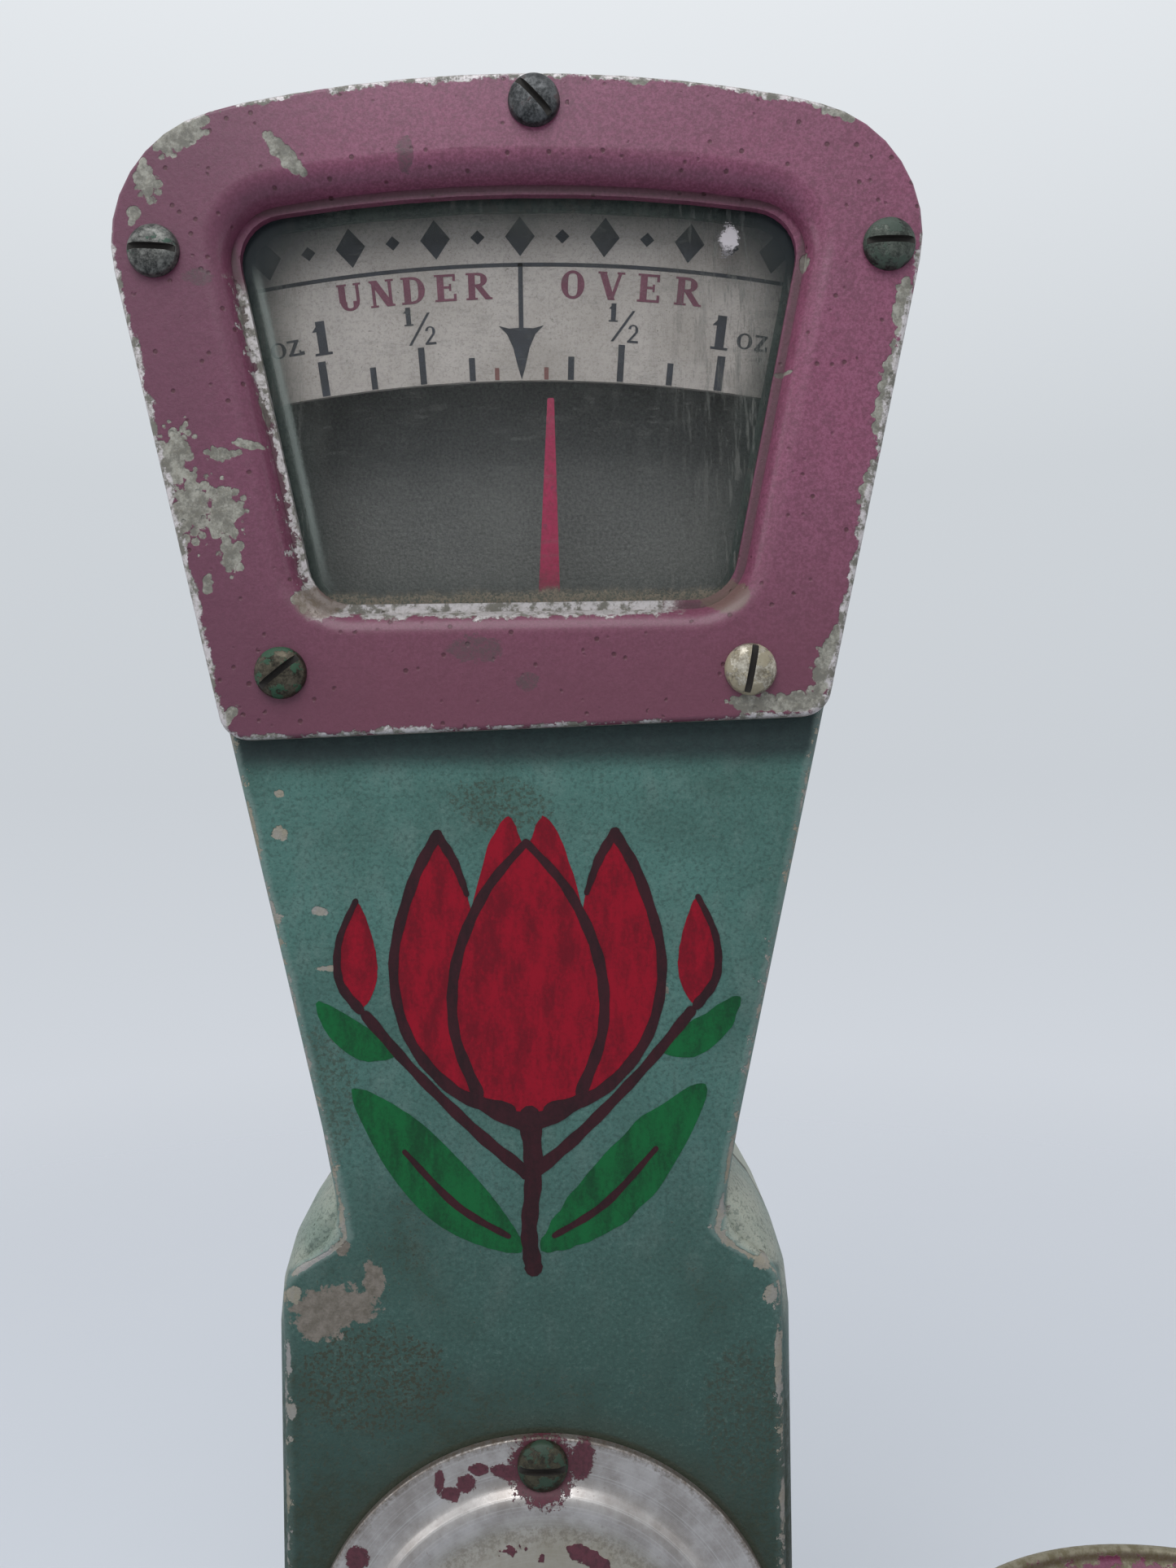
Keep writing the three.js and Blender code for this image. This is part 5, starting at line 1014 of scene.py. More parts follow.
# Strokes that cross lie in planes of their own, a thousandth of a millimetre apart.
STROKE_LIFT, STROKE_LAYERS = 0.001, 7


def roman_word(bm, letters, size, radius, degrees, step):
    """Serif letters drawn with pen strokes, their feet on the radius."""
    for i, letter in enumerate(letters):
        reading = degrees + step * (i - (len(letters) - 1) / 2)
        for part in ROMAN[letter]:
            lift = STROKE_LIFT * (len(bm.faces) % STROKE_LAYERS)
            flat = [(x * size, z * size) for x, z in part]
            points = on_dial(flat, radius, reading)
            bm.faces.new([bm.verts.new(point - Vector((0, lift * MM, 0))) for point in points])


QUARTER = 2.035
CHART_FOOT = 250.75
dark = bmesh.new()
for count in range(-4, 5):
    if count:
        tall, half = {1: (4.2, 0.55), 2: (6.7, 0.58), 3: (4.0, 0.55), 4: (6.3, 0.72)}[abs(count)]
        ink_shape(dark, [(-half, 0), (half, 0), (half, tall), (-half, tall)], CHART_FOOT, count * QUARTER)
ink_shape(
    dark,
    [(0, 0), (0.7, 2.4), (1.5, 5.8), (2.6, 8.3), (4.1, 9.8), (2.2, 9.3), (0.42, 9.4), (0.42, 21.2),
     (-0.42, 21.2), (-0.42, 9.4), (-2.2, 9.3), (-4.1, 9.8), (-2.6, 8.3), (-1.5, 5.8), (-0.7, 2.4)],
    CHART_FOOT, 0,
)
ink_arc(dark, 271.3, 272.0, 11.0)
for side in (-1, 1):
    roman_word(dark, "1", 3.3, 261.6, side * 2 * QUARTER - 0.4, 0)
    roman_word(dark, "2", 3.3, 257.9, side * 2 * QUARTER + 0.42, 0)
    ink_shape(dark, [(-2.1, -2.8), (-1.6, -2.8), (2.1, 2.9), (1.6, 2.9)], 260.8, side * 2 * QUARTER)
    roman_word(dark, "1", 6.2, 258.2, side * (4 * QUARTER - 0.16), 0)
roman_word(dark, "oz", 4.4, 258.9, 9.3, 0.66)
roman_word(dark, "oz.", 4.4, 258.9, -9.15, 0.62)
for count in range(-6, 7):
    tall, wide = (3.6, 2.7) if count % 2 == 0 else (1.3, 1.3)
    ink_shape(dark, [(0, -tall), (wide, 0), (0, tall), (-wide, 0)], 276.8, count * 1.6)
add_print("dial_print_dark", dark, dark_ink)
maroon = bmesh.new()
roman_word(maroon, "UNDER", 4.9, 265.5, -4.15, 1.26)
roman_word(maroon, "OVER", 5.1, 265.5, 4.28, 1.5)
add_print("dial_print_maroon", maroon, maroon_ink)
red = bmesh.new()
for side in (-1, 1):
    ink_shape(red, [(-0.4, 0), (0.4, 0), (0.4, 2.2), (-0.4, 2.2)], CHART_FOOT, side * QUARTER / 2)
add_print("dial_print_red", red, red_ink)


# Chart screws: two small round-head brass screws, one near each end of the chart.
tarnish = screw_finish("tarnished_brass_screw", srgb(170, 148, 96), srgb(92, 80, 52), srgb(80, 78, 60), 0.42)
for side, name in ((-1, "left"), (1, "right")):
    low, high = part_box(f"chart_screw_{name}")
    middle = [(a + b) / 2 / MM for a, b in zip(low, high)]
    radius = (high[0] - low[0]) / 2 / MM
    add_piece(
        f"dial_screw_{name}", screw_mesh((middle[0], CHART_FACE, middle[2]), "front", 25 * side, radius),
        tarnish, replaces=[f"chart_screw_{name}"],
    )


# Pointer: a stamped steel blade in bright red-pink paint, thin at the tip, on a turned hub.
pointer_paint = Finish("pointer_enamel", roughness=0.42)
grain = pointer_paint.mottle(0.7, detail=4, roughness=0.7)
tone = grain.between(0.35, 0.7).mix(srgb(170, 18, 76), srgb(138, 12, 58))
worn = (pointer_paint.mottle(2.2, detail=4, roughness=0.7, seed=3)).between(0.66, 0.7)
pointer_paint.link("Base Color", worn.mix(tone, srgb(128, 30, 70)))
pointer_paint.link("Roughness", 0.38 + grain * 0.25)
pointer_paint.bump(grain, 0.03)
coat("pointer", pointer_paint)


# Painted sprig: a tulip with two buds and long leaves, brushed by hand on the neck in thick
# enamel over the sage, outlined in maroon. The strokes are uneven and the colour is streaky.
SPRIG_RISE = 0.07


def curve_point(p0, p1, p2, p3, t):
    """A point on the smooth curve that passes through four others, between the middle two."""
    return 0.5 * (
        2 * p1 + (p2 - p0) * t + (2 * p0 - 5 * p1 + 4 * p2 - p3) * t ** 2
        + (3 * p1 - p0 - 3 * p2 + p3) * t ** 3
    )


def brushed_shape(bm, points, rise, steps=8):
    """A patch of paint inside the points, with the wander of a hand-held brush."""
    loop = []
    for i in range(len(points)):
        near = [Vector(points[(i + k) % len(points)]) for k in (-1, 0, 1, 2)]
        for j in range(steps):
            at = curve_point(*near, j / steps)
            wander = 0.16 * math.sin(2.3 * len(loop) + at.x) * math.sin(0.9 * len(loop) + at.y)
            loop.append((at.x + wander, at.y - wander))
    bm.faces.new([bm.verts.new((x * MM, (TOWER_FRONT - rise) * MM, z * MM)) for x, z in loop])


def brushed_line(bm, points, widths, rise, steps=8):
    """A stroke of the brush along the points, wider or narrower at each, with rounded ends."""
    points = [Vector(point) for point in points]
    path = []
    for i in range(len(points) - 1):
        near = [points[min(max(i + k, 0), len(points) - 1)] for k in (-1, 0, 1, 2)]
        for j in range(steps + (i == len(points) - 2)):
            width = widths[i] + (widths[i + 1] - widths[i]) * j / steps
            swell = 1 + 0.09 * math.sin(1.7 * len(path) + rise * 90)
            path.append((curve_point(*near, j / steps), width * swell))
    for end, way in ((0, points[0] - points[1]), (-1, points[-1] - points[-2])):
        at, width = path[end]
        for reach, share in ((0.3, 0.75), (0.47, 0.3)):
            path.insert(0 if end == 0 else len(path), (at + way.normalized() * reach * width, share * width))
    rows = []
    for i, (at, width) in enumerate(path):
        ahead = (path[min(i + 1, len(path) - 1)][0] - path[max(i - 1, 0)][0]).normalized()
        aside = Vector((-ahead.y, ahead.x)) * width / 2
        rows.append([
            bm.verts.new((p.x * MM, (TOWER_FRONT - rise) * MM, p.y * MM)) for p in (at + aside, at - aside)
        ])
    for (a, b), (c, d) in zip(rows, rows[1:]):
        bm.faces.new((a, b, d, c))


def mirrored(points):
    return [(-x, z) for x, z in points]


def streaky(name, colour, dark):
    """Glossy hand-brushed enamel, darker where it is thin."""
    finish = Finish(name, specular_ior_level=0.25)
    streak = finish.mottle(3.0, detail=4, roughness=0.65, stretch=(1, 1, 0.35), seed=2)
    grit = finish.mottle(0.7, detail=4, roughness=0.7, seed=3)
    finish.link("Base Color", (streak * 0.7 + grit * 0.35).between(0.4, 0.68).mix(colour, dark))
    finish.link("Roughness", 0.4 + grit * 0.2)
    finish.bump(streak + grit * 0.4, 0.06)
    return finish


OUTER_PETAL = [
    (-3.5, 233), (-13, 236.5), (-21, 246), (-23.5, 259), (-20, 273), (-15.5, 281.5), (-11, 273), (-8, 258),
]
INNER_PETAL = [
    (0, 231.5), (-9, 236), (-13, 247), (-12.5, 259), (-7.5, 271),
    (0, 280), (7.5, 271), (12.5, 259), (13, 247), (9, 236),
]
BACK_PETAL = [(-10, 262), (-7, 278), (-3, 284.5), (0, 279), (3, 284.5), (7, 278), (10, 262), (0, 258)]
LOW_LEAF = [
    (-1.5, 208.5), (-9, 209.5), (-18, 214.5), (-26, 224.5), (-31, 237), (-21, 232.5), (-12, 224), (-5, 215.5),
]
BUD = [(-29.5, 251), (-33, 256), (-33, 263), (-30, 270), (-27, 263), (-26.5, 256)]
red_paint = streaky("crimson_enamel", srgb(144, 0, 30), srgb(104, 0, 22))
maroon_paint = streaky("maroon_brush_line", srgb(52, 16, 24), srgb(34, 10, 16))
green_paint = streaky("leaf_green_enamel", srgb(6, 92, 46), srgb(4, 62, 32))
petals, lines, leaves = bmesh.new(), bmesh.new(), bmesh.new()
for side, facing in enumerate((list, mirrored)):
    over = SPRIG_RISE + 0.01 * side
    brushed_shape(petals, facing(OUTER_PETAL), SPRIG_RISE)
    brushed_line(lines, facing(OUTER_PETAL[:6]), [2.6, 2.1, 1.8, 1.7, 1.9, 1.9], over + 0.05)
    brushed_line(lines, facing([(-15.7, 281.6), (-12.8, 277), (-10.5, 271)]), [1.7, 1.6, 0.9], over + 0.055)
    brushed_shape(petals, facing(BUD), SPRIG_RISE)
    brushed_line(lines, facing(BUD[:4]), [1.8, 1.5, 1.2, 1.0], over + 0.05)
    brushed_line(
        lines, facing([(-0.6, 222), (-9, 229), (-20, 240), (-28.5, 250)]), [2.4, 2.0, 1.7, 2.0], over + 0.02
    )
    brushed_shape(leaves, facing(LOW_LEAF), SPRIG_RISE)
    brushed_line(lines, facing([(-4, 211), (-13, 216.5), (-22, 226)]), [1.0, 1.4, 0.9], over + 0.05)
    brushed_shape(
        leaves, facing([(-23, 243.5), (-29, 242), (-35, 246.5), (-37, 252.5), (-30, 249)]), SPRIG_RISE
    )
brushed_shape(petals, BACK_PETAL, SPRIG_RISE - 0.03)
brushed_shape(petals, INNER_PETAL, SPRIG_RISE + 0.03)
brushed_line(lines, INNER_PETAL[5:0:-1], [1.2, 1.8, 1.9, 1.8, 2.2], SPRIG_RISE + 0.06)
brushed_line(lines, INNER_PETAL[5:], [1.2, 1.7, 2.0, 1.8, 2.2], SPRIG_RISE + 0.07)
brushed_line(lines, [(-10, 235.2), (0, 231), (10, 235.2)], [2.2, 3.4, 2.2], SPRIG_RISE + 0.08)
brushed_line(
    lines, [(0, 232), (0.5, 222), (-0.4, 212), (0.3, 205.5)], [4.0, 3.0, 2.8, 3.2], SPRIG_RISE + 0.04
)
add_print("sprig_petals", petals, red_paint, 0.03)
add_print("sprig_leaves", leaves, green_paint, 0.03)
add_print("sprig_lines", lines, maroon_paint, 0.03)


# Access cover: a spun aluminium disc with a raised bead and a low dome that closes the hole in
# front of the pointer's pivot. It was once sprayed with the bezel's lacquer, now mostly gone.
COVER_FACE = TOWER_FRONT - 0.1
COVER_RADIUS, COVER_SHEET, COVER_DOME = 42.0, 1.6, 4.2
COVER_SCREW_CIRCLE, COVER_SCREW_COUNT, COVER_SCREW_RADIUS, COVER_SCREW_LENGTH = 37.4, 3, 4.4, 7.0
profile = [
    (0, COVER_DOME - 0.1), (18, COVER_DOME * 0.7), (28.2, 0.2), (29, 0), (COVER_RADIUS, 0),
    (COVER_RADIUS, COVER_SHEET), (34.8, COVER_SHEET), (32.3, COVER_SHEET + 2.3), (29.8, COVER_SHEET + 2.4),
    (26.8, COVER_SHEET + 2.0), (20, COVER_SHEET + 3.0),
    (10, COVER_SHEET + 3.9), (0, COVER_SHEET + COVER_DOME),
]
cover_place = (COVER_PLACE[0], COVER_FACE, COVER_PLACE[1])
disc = spin_profile(
    profile, cover_place, "front", 128,
    [(11, 4.0), (10, 3.6), (9, 1.4), (8, 1.2), (7, 1.2), (6, 1.2), (5, 0.5)],
)
metal = Finish("worn_spun_aluminium", roughness=0.3, metallic=1.0)
ring = metal.x.away(metal.x - COVER_PLACE[0], 0, metal.z - COVER_PLACE[1])
turning = ring.node(
    "TexNoise", {"noise_dimensions": "1D"}, {"W": ring, "Scale": 2.2, "Detail": 4.0, "Roughness": 0.8}
)
fog = metal.mottle(9, detail=5, roughness=0.7, seed=1)
grit = metal.mottle(0.9, detail=5, roughness=0.75, seed=2)
scratch = metal.mottle(2.4, detail=4, roughness=0.7, stretch=(0.15, 1, 1), seed=3)
tone = fog.between(0.3, 0.7).mix(srgb(180, 176, 174), srgb(144, 138, 134))
tone = (turning.between(0.5, 0.75) * 0.35).mix(tone, srgb(206, 204, 202))
tone = (grit.between(0.6, 0.72) * 0.5).mix(tone, srgb(108, 96, 84))
tone = ((1 - ring.between(26, 31)) * (0.35 + fog * 0.5)).mix(tone, srgb(158, 152, 134))
rust_rim = (ring - 38.6 + grit * 5).between(4.4, 6.6)
rust_rim = rust_rim | (1 - abs(ring - 26.5).between(0.6, 3.0)) * grit.between(0.42, 0.6) * 0.5
tone = (rust_rim * 0.85).mix(tone, srgb(74, 60, 44))
remnant = metal.mottle(4.6, detail=3, roughness=0.55, seed=6) + (grit - 0.5) * 0.12
paint_left = (remnant - ring.between(24, 27.5) * 0.3).between(0.565, 0.58)
for x, z, half_x, half_z, tilt in (
    (1.5, 171.4, 6.3, 5.8, 0), (8.3, 172.6, 2.2, 3.8, 15),
    (-4.6, 170.6, 3.4, 1.4, 12), (-9.6, 171.2, 1.8, 1.2, 0),
    (-11.8, 168.8, 1.8, 1.7, -30), (-14.6, 167.0, 2.0, 1.3, 0),
    (-16.5, 169.2, 0.9, 2.2, 0), (-31.0, 156.0, 2.2, 2.3, 0),
):
    paint_left = paint_left | metal.blot(x, z, half_x, half_z, tilt, grit, 1.5)
maroon_left = grit.between(0.4, 0.65).mix(srgb(84, 36, 48), srgb(62, 24, 34))
metal.link("Base Color", paint_left.mix(tone, maroon_left))
metal.link("Metallic", (1 - (paint_left | rust_rim * 0.8)) * 0.92)
metal.link("Roughness", 0.2 + fog * 0.14 + grit * 0.14 + paint_left * 0.25)
metal.bump(turning * 0.25 + grit * 0.4 + scratch * 0.25 + paint_left * 1.2, 0.05)
add_piece("spun_cover", disc, metal, replaces=["access_cover"])
brown_green = screw_finish(
    "brown_green_screw", srgb(74, 70, 55), srgb(34, 32, 26), srgb(26, 54, 38), 0.5, 0.6
)
for i in range(COVER_SCREW_COUNT):
    angle = 2 * math.pi * i / COVER_SCREW_COUNT
    x = COVER_PLACE[0] + COVER_SCREW_CIRCLE * math.sin(angle)
    z = COVER_PLACE[1] + COVER_SCREW_CIRCLE * math.cos(angle)
    bm = screw_mesh(
        (x, COVER_FACE - COVER_SHEET, z), "front", -math.degrees(angle),
        COVER_SCREW_RADIUS, COVER_SCREW_LENGTH,
    )
    add_screw(f"cover_screw_round_{i + 1}", bm, brown_green, [f"access_cover_screw_{i + 1}"])


# Rear cover: a hood cast in the same arch as the back of the tower, never repainted, so it still
# has its first cream enamel. Four long screws go through it into the tower.
REAR_BACK, REAR_EDGE, REAR_WALL = 30.0, 5.0, 3.0
REAR_PLACES = [
    (f"{level}_{side}", sign * 38.0, DECK_TOP + share * (HUMP_TOP - DECK_TOP))
    for level, share in (("low", 0.145), ("high", 0.77)) for side, sign in (("left", -1), ("right", 1))
]
hood = slab(
    hump_corners(TOWER_FOOT), TOWER_SEAM + 0.1, REAR_BACK, (0.4, 0.4), (REAR_EDGE, REAR_EDGE), steps=7
)
hood_room = slab(hump_corners(TOWER_FOOT - 5, REAR_WALL), TOWER_SEAM - 5, REAR_BACK - REAR_WALL)
holes = [
    spin_profile([(0, 0), (1.9, 0), (1.9, 60), (0, 60)], (x, TOWER_SEAM - 10, z), "back", 16)
    for name, x, z in REAR_PLACES
]
cream = Tower("cream_enamel", roughness=0.5)
cloud = cream.mottle(24, detail=4, seed=1)
peel = cream.mottle(0.9, detail=2, seed=2)
grit = cream.mottle(2.0, detail=5, roughness=0.75, seed=3)
tone = cloud.between(0.3, 0.7).mix(srgb(176, 180, 164), srgb(158, 163, 148))
hump_side = cream.hump_distance()
dirt = (grit * 0.6 + cloud * 0.4).between(0.56, 0.74) * 0.5
dirt = dirt | (1 - cream.y.between(TOWER_SEAM + 0.3, TOWER_SEAM + 1.6)) * 0.7
dirt = dirt | (1 - cream.z.between(76, 84)) * 0.5
tone = dirt.mix(tone, srgb(92, 88, 68))
low_grime = (1 - cream.z.between(150, 205)) * (grit * 0.8 + 0.1).between(0.3, 0.8)
tone = (low_grime * 0.55).mix(tone, srgb(78, 80, 68))
worn = (cream.mottle(5, detail=5, roughness=0.7, seed=5)).between(0.70, 0.72)
worn = worn | (
    (cream.y - 26.5 + grit * 3).between(2.9, 3.1) * hump_side.between(6, 4) * grit.between(0.5, 0.56)
)
cream.link("Base Color", worn.mix(tone, srgb(122, 118, 108)))
cream.link("Roughness", 0.42 + grit * 0.3)
cream.link("Metallic", worn * 0.5)
cream.bump(peel * 0.4 + grit * 0.4 + (1 - worn) * 0.6, 0.12)
add_piece("cream_hood", carve(hood, cut=[hood_room, *holes]), cream, replaces=["rear_cover"])
for name, x, z in REAR_PLACES:
    bm = screw_mesh((x, REAR_BACK, z), "back", 20 + x * 1.3 + z * 0.3, HEAD_RADIUS, 31.0)
    add_screw(f"rear_screw_round_{name}", bm, bronze, [f"rear_cover_screw_{name}"])


# Base casting: a long hollow iron casting with a rounded deck and a small flange at its foot,
# brushed with the same sage enamel as the tower. The pans' stems come up through it.
FOOT_HEIGHT, FLANGE_HEIGHT, FLANGE_WIDTH = 8.0, 6.0, 4.0
BASE_HALF, BASE_DEPTH, BASE_CORNER, BASE_SHOULDER, BASE_WALL = 205.0, 75.0, 52.0, 13.0, 4.5
ARM, STEM_HOLE = 136.0, 7.4


def lying(corners, low, high, low_round=None, high_round=None, steps=5):
    """A slab whose outline lies flat, from one height up to another."""
    bm = slab(corners, -high, -low, high_round, low_round, steps)
    turn(bm, -90, "X")
    return bm


def base_corners(margin=0.0):
    half, depth, corner = BASE_HALF - margin, BASE_DEPTH - margin, BASE_CORNER - margin
    return [(-half, -depth, corner), (half, -depth, corner), (half, depth, corner), (-half, depth, corner)]


def upright_hole(radius, low, high, x, y, steps=48):
    return spin_profile([(0, low), (radius, low), (radius, high), (0, high)], (x, y, 0), "up", steps)


hull = lying(
    base_corners(FLANGE_WIDTH), FOOT_HEIGHT, DECK_TOP, None, (BASE_SHOULDER, BASE_SHOULDER), steps=9
)
skirt = lying(base_corners(), FOOT_HEIGHT, FOOT_HEIGHT + FLANGE_HEIGHT, None, (1.8, 1.8), steps=5)
belly = lying(
    base_corners(FLANGE_WIDTH + BASE_WALL), FOOT_HEIGHT - 5, DECK_TOP - 5, None,
    (BASE_SHOULDER - BASE_WALL, BASE_SHOULDER - BASE_WALL),
)
slot_place = 20 + (DECK_TOP - 2.5 - 50) / (PIVOT_Z - 50) * (20 / 2.73 - 20)
slot_cut = block((11, 7, 20), (slot_place, -6.1, DECK_TOP - 2.5))
cuts = [slot_cut] + [upright_hole(STEM_HOLE, 60, 90, sign * ARM, 0) for sign in (-1, 1)]
enamel = Finish("sage_base_enamel", roughness=0.5, coat_weight=0.12, coat_roughness=0.35)
cloud = enamel.mottle(40, detail=4)
brushed = enamel.mottle(6, detail=4, stretch=(0.4, 1, 1), seed=1)
peel = enamel.mottle(0.9, detail=2, seed=2)
grit = enamel.mottle(2.6, detail=5, roughness=0.75, seed=3)
tone = cloud.between(0.25, 0.75).mix(SAGE, SAGE_DARK)
tone = (brushed.between(0.45, 0.8) * 0.4).mix(tone, SAGE_PALE)
low_dirt = 1 - (enamel.z + grit * 14).between(14, 34)
dirt = (grit * 0.55 + cloud * 0.6).between(0.62, 0.8) * 0.7 | low_dirt * 0.75
stem_gap = enamel.x.away(abs(enamel.x) - ARM, enamel.y)
dirt = dirt | (1 - (stem_gap - grit * 8).between(10, 22)) * 0.6
tone = dirt.mix(tone, GRIME)
rub = enamel.mottle(7, detail=5, roughness=0.7, seed=4)
flange_edge = enamel.z - (FOOT_HEIGHT + FLANGE_HEIGHT - 1)
worn = (rub * 2.4 - abs(flange_edge)).between(1.05, 1.3) * (enamel.mottle(30, seed=7)).between(0.4, 0.5)
worn = worn | rub.between(0.735, 0.75) | enamel.mottle(1.6, detail=3, seed=8).between(0.74, 0.76)
tone = worn.mix(tone, brushed.between(0.35, 0.7).mix(PRIMER, BARE_METAL))
enamel.link("Base Color", tone)
enamel.link("Roughness", 0.46 + grit * 0.2 + dirt * 0.2)
enamel.link("Metallic", worn * 0.45)
enamel.link("Coat Weight", (1 - (worn | dirt)) * 0.18)
enamel.bump(peel * 0.35 + brushed * 0.9 + grit * 0.35 + (1 - worn) * 0.5, 0.16)
add_piece(
    "painted_base", carve(hull, [skirt], [belly, *cuts]), enamel,
    replaces=["base_casting"],
)


# Feet and bottom plate: moulded rubber feet with a chamfered sole, and a plain steel sheet.
rubber = Finish("dusty_rubber", roughness=0.8)
grit = rubber.mottle(1.2, detail=4, roughness=0.7)
rubber.link("Base Color", grit.between(0.4, 0.75).mix(srgb(40, 39, 38), srgb(78, 75, 70)))
rubber.link("Roughness", 0.72 + grit * 0.2)
rubber.bump(grit, 0.06)
for row, y in (("front", -46), ("rear", 46)):
    for side, x in (("left", -168), ("right", 168)):
        profile = [(0, 0), (10.6, 0), (13, 2.6), (12.2, 8.88), (0, 8.88)]
        bm = spin_profile(profile, (x, y, 0), "up", 64, [(3, 0.5), (2, 1.2), (1, 0.8)])
        add_piece(f"rubber_foot_{row}_{side}", bm, rubber, replaces=[f"foot_{row}_{side}"])


def steel_finish(name, light, dark, rust, size=6.0, roughness=0.34):
    """Plain machined steel, dulled in patches, with a little rust in its grain."""
    finish = Finish(name, metallic=1.0)
    fog = finish.mottle(size, detail=5, roughness=0.7, seed=1)
    grit = finish.mottle(0.7, detail=4, roughness=0.75, seed=2)
    spots = (fog * 0.5 + grit * 0.6).between(0.6, 0.72)
    finish.link("Base Color", (spots * 0.7).mix(fog.between(0.3, 0.7).mix(light, dark), rust))
    finish.link("Metallic", 0.95 - spots * 0.6)
    finish.link("Roughness", roughness + fog * 0.2 + spots * 0.25)
    finish.bump(grit * 0.6 + fog, 0.04)
    return finish


steel = steel_finish("dulled_steel", srgb(160, 160, 158), srgb(124, 124, 122), srgb(104, 76, 54))
for node in (
    "bottom_plate", "fulcrum_knife", "end_knife_left", "end_knife_right",
    "check_pin_centre", "check_pin_left",
    "check_pin_right", "pointer_axle", "dashpot_plunger", "stop_screw_left", "stop_screw_right",
    "tower_screw_front_left", "tower_screw_front_right", "tower_screw_rear_left", "tower_screw_rear_right",
):
    coat(node, steel)


# Beam, check link, stand, carriers and bracket: grey iron castings, rusty in patches.
iron = Finish("bare_grey_iron", metallic=0.5)
fog = iron.mottle(7, detail=5, roughness=0.7, seed=1)
sand = iron.mottle(0.8, detail=3, roughness=0.7, seed=2)
tone = fog.between(0.3, 0.7).mix(srgb(84, 86, 84), srgb(58, 60, 58))
rusty = (fog * 0.6 + sand * 0.5).between(0.62, 0.74)
iron.link("Base Color", (rusty * 0.7).mix(tone, srgb(96, 66, 46)))
iron.link("Roughness", 0.55 + sand * 0.25)
iron.link("Metallic", 0.5 - rusty * 0.4)
iron.bump(sand + fog, 0.12)
for node in (
    "fulcrum_stand", "beam", "check_link", "pan_carrier_left", "pan_carrier_right", "pointer_bracket",
):
    coat(node, iron)
yellow = steel_finish("aged_brass", srgb(176, 152, 92), srgb(138, 116, 64), srgb(84, 70, 44), 5.0, 0.3)
for node in ("balance_nut", "sensitivity_weight", "pointer_crank", "connecting_link", "dashpot_cup"):
    coat(node, yellow)


# Stem collars and pan supports: a turned brass ring round each stem, and a four-armed casting
# screwed to its top that carries the pan.
for side, sign in (("left", -1), ("right", 1)):
    profile = [(7.4, 75.1), (12, 75.1), (12, 77.4), (10.6, 78.6), (7.4, 78.6), (7.4, 75.1)]
    bm = spin_profile(profile, (sign * ARM, 0, 0), "up", 64, [(3, 0.7), (2, 0.7)])
    add_piece(f"turned_collar_{side}", bm, yellow, replaces=[f"stem_collar_{side}"])
    arm = [
        (-38, -4.5, 2.2), (-9, -4.5), (-4.5, -9), (-4.5, -38, 2.2),
        (4.5, -38, 2.2), (4.5, -9), (9, -4.5), (38, -4.5, 2.2),
        (38, 4.5, 2.2), (9, 4.5), (4.5, 9), (4.5, 38, 2.2),
        (-4.5, 38, 2.2), (-4.5, 9), (-9, 4.5), (-38, 4.5, 2.2),
    ]
    cross = lying(arm, 88, 91, (0.6, 0.6), (0.4, 0.4), steps=3)
    move(cross, sign * ARM, 0, 0)
    hub = upright_hole(9, 86.6, 91, sign * ARM, 0)
    socket = upright_hole(5.15, 80, 90.5, sign * ARM, 0)
    add_piece(
        f"cross_support_{side}", carve(cross, [hub], [socket]), iron,
        body=f"carrier_{side}", replaces=[f"pan_support_{side}"],
    )


# Goods pan: a pressed dish with a rolled rim, sprayed with the bezel's lacquer, chipped to
# olive rust along the rim and rubbed bright in the middle.
PAN_FLOOR, PAN_SHEET, PAN_RIM, PAN_RADIUS, PAN_BEAD, PAN_FLAT = 91.1, 1.3, 103.0, 64.3, 1.7, 49.0
ring_middle = PAN_RADIUS - PAN_BEAD
bead_z = PAN_RIM - PAN_BEAD
profile = [
    (0, PAN_FLOOR), (PAN_FLAT, PAN_FLOOR), (58.2, 94.8), (ring_middle, bead_z - PAN_BEAD),
    (PAN_RADIUS, bead_z - PAN_BEAD), (PAN_RADIUS, PAN_RIM), (ring_middle - PAN_BEAD * 0.8, PAN_RIM),
    (ring_middle - PAN_SHEET, bead_z - 0.9), (57.4, 95.9), (PAN_FLAT - 0.4, PAN_FLOOR + PAN_SHEET),
    (0, PAN_FLOOR + PAN_SHEET),
]
dish = spin_profile(
    profile, (ARM, 0, 0), "up", 128,
    [(9, 3.0), (8, 2.5), (7, 0.5), (6, 1.3), (5, 1.6), (4, 1.6), (3, 0.5), (2, 3.0), (1, 3.4)],
)
pan_paint = Finish("chipped_pan_lacquer", roughness=0.42)
cloud = pan_paint.mottle(22, detail=4, seed=1)
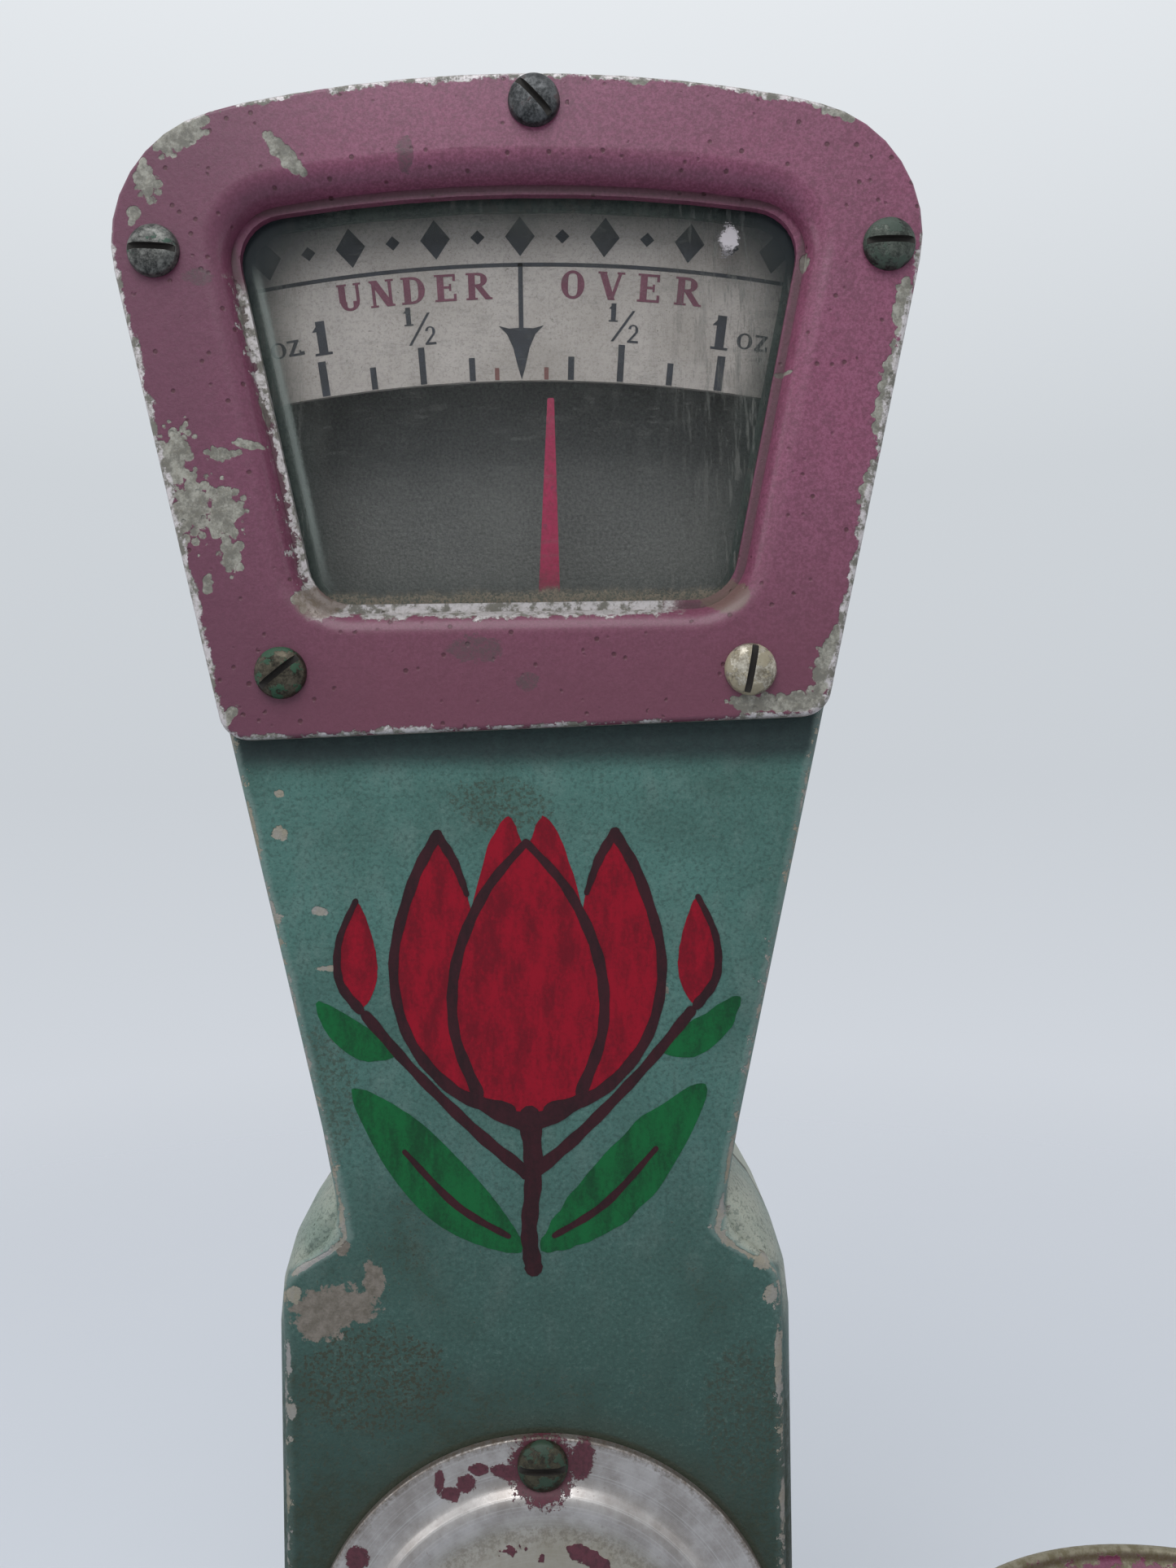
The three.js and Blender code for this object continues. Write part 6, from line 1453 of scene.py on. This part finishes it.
grain = pan_paint.mottle(0.6, detail=4, roughness=0.7, seed=2)
grit = pan_paint.mottle(2.4, detail=5, roughness=0.75, seed=4)
pan_gap = pan_paint.x.away(pan_paint.x - ARM, pan_paint.y)
tone = cloud.between(0.25, 0.75).mix(MAUVE, MAUVE_DARK)
tone = (grain.between(0.4, 0.68) * 0.4).mix(tone, MAUVE_PALE)
rub = pan_paint.mottle(5, detail=5, roughness=0.72, seed=5)
rim_wear = (rub + pan_gap.between(58, 63.5) * 0.19 + pan_paint.z.between(99, 103) * 0.08).between(0.58, 0.64)
floor_wear = (rub * 0.8 + (1 - pan_gap.between(12, 52)) * 0.2 + grit * 0.25).between(0.66, 0.7)
rust = grit.between(0.4, 0.62)
bare = rust.mix(srgb(136, 130, 112), srgb(100, 92, 66))
worn = rim_wear | floor_wear * pan_paint.z.between(PAN_FLOOR + 0.6, PAN_FLOOR + 0.9)
pan_paint.link("Base Color", worn.mix(tone, bare))
pan_paint.link("Roughness", 0.40 + grain * 0.16 + worn * 0.12)
pan_paint.link("Metallic", worn * (1 - rust) * 0.7)
pan_paint.bump(grain * 0.3 + (1 - worn) * 0.7 + cloud, 0.1)
add_piece("rolled_rim_pan", dish, pan_paint, body="goods_pan", replaces=["goods_pan"])


# Weight plate: a flat cast plate with a low rim on which the weights stand, brushed sage.
PLATE_RADIUS, PLATE_THICK, PLATE_RISE = 47.0, 2.6, 2.4
profile = [
    (0, PAN_FLOOR), (45.4, PAN_FLOOR), (PLATE_RADIUS, PAN_FLOOR + 1.3),
    (PLATE_RADIUS, PAN_FLOOR + PLATE_THICK + PLATE_RISE), (44.8, PAN_FLOOR + PLATE_THICK + PLATE_RISE),
    (44.0, PAN_FLOOR + PLATE_THICK), (0, PAN_FLOOR + PLATE_THICK),
]
plate = spin_profile(profile, (-ARM, 0, 0), "up", 96, [(5, 0.8), (4, 0.8), (3, 0.8), (2, 0.6), (1, 0.6)])
add_piece("rimmed_plate", plate, enamel, body="weight_plate", replaces=["weight_plate"])
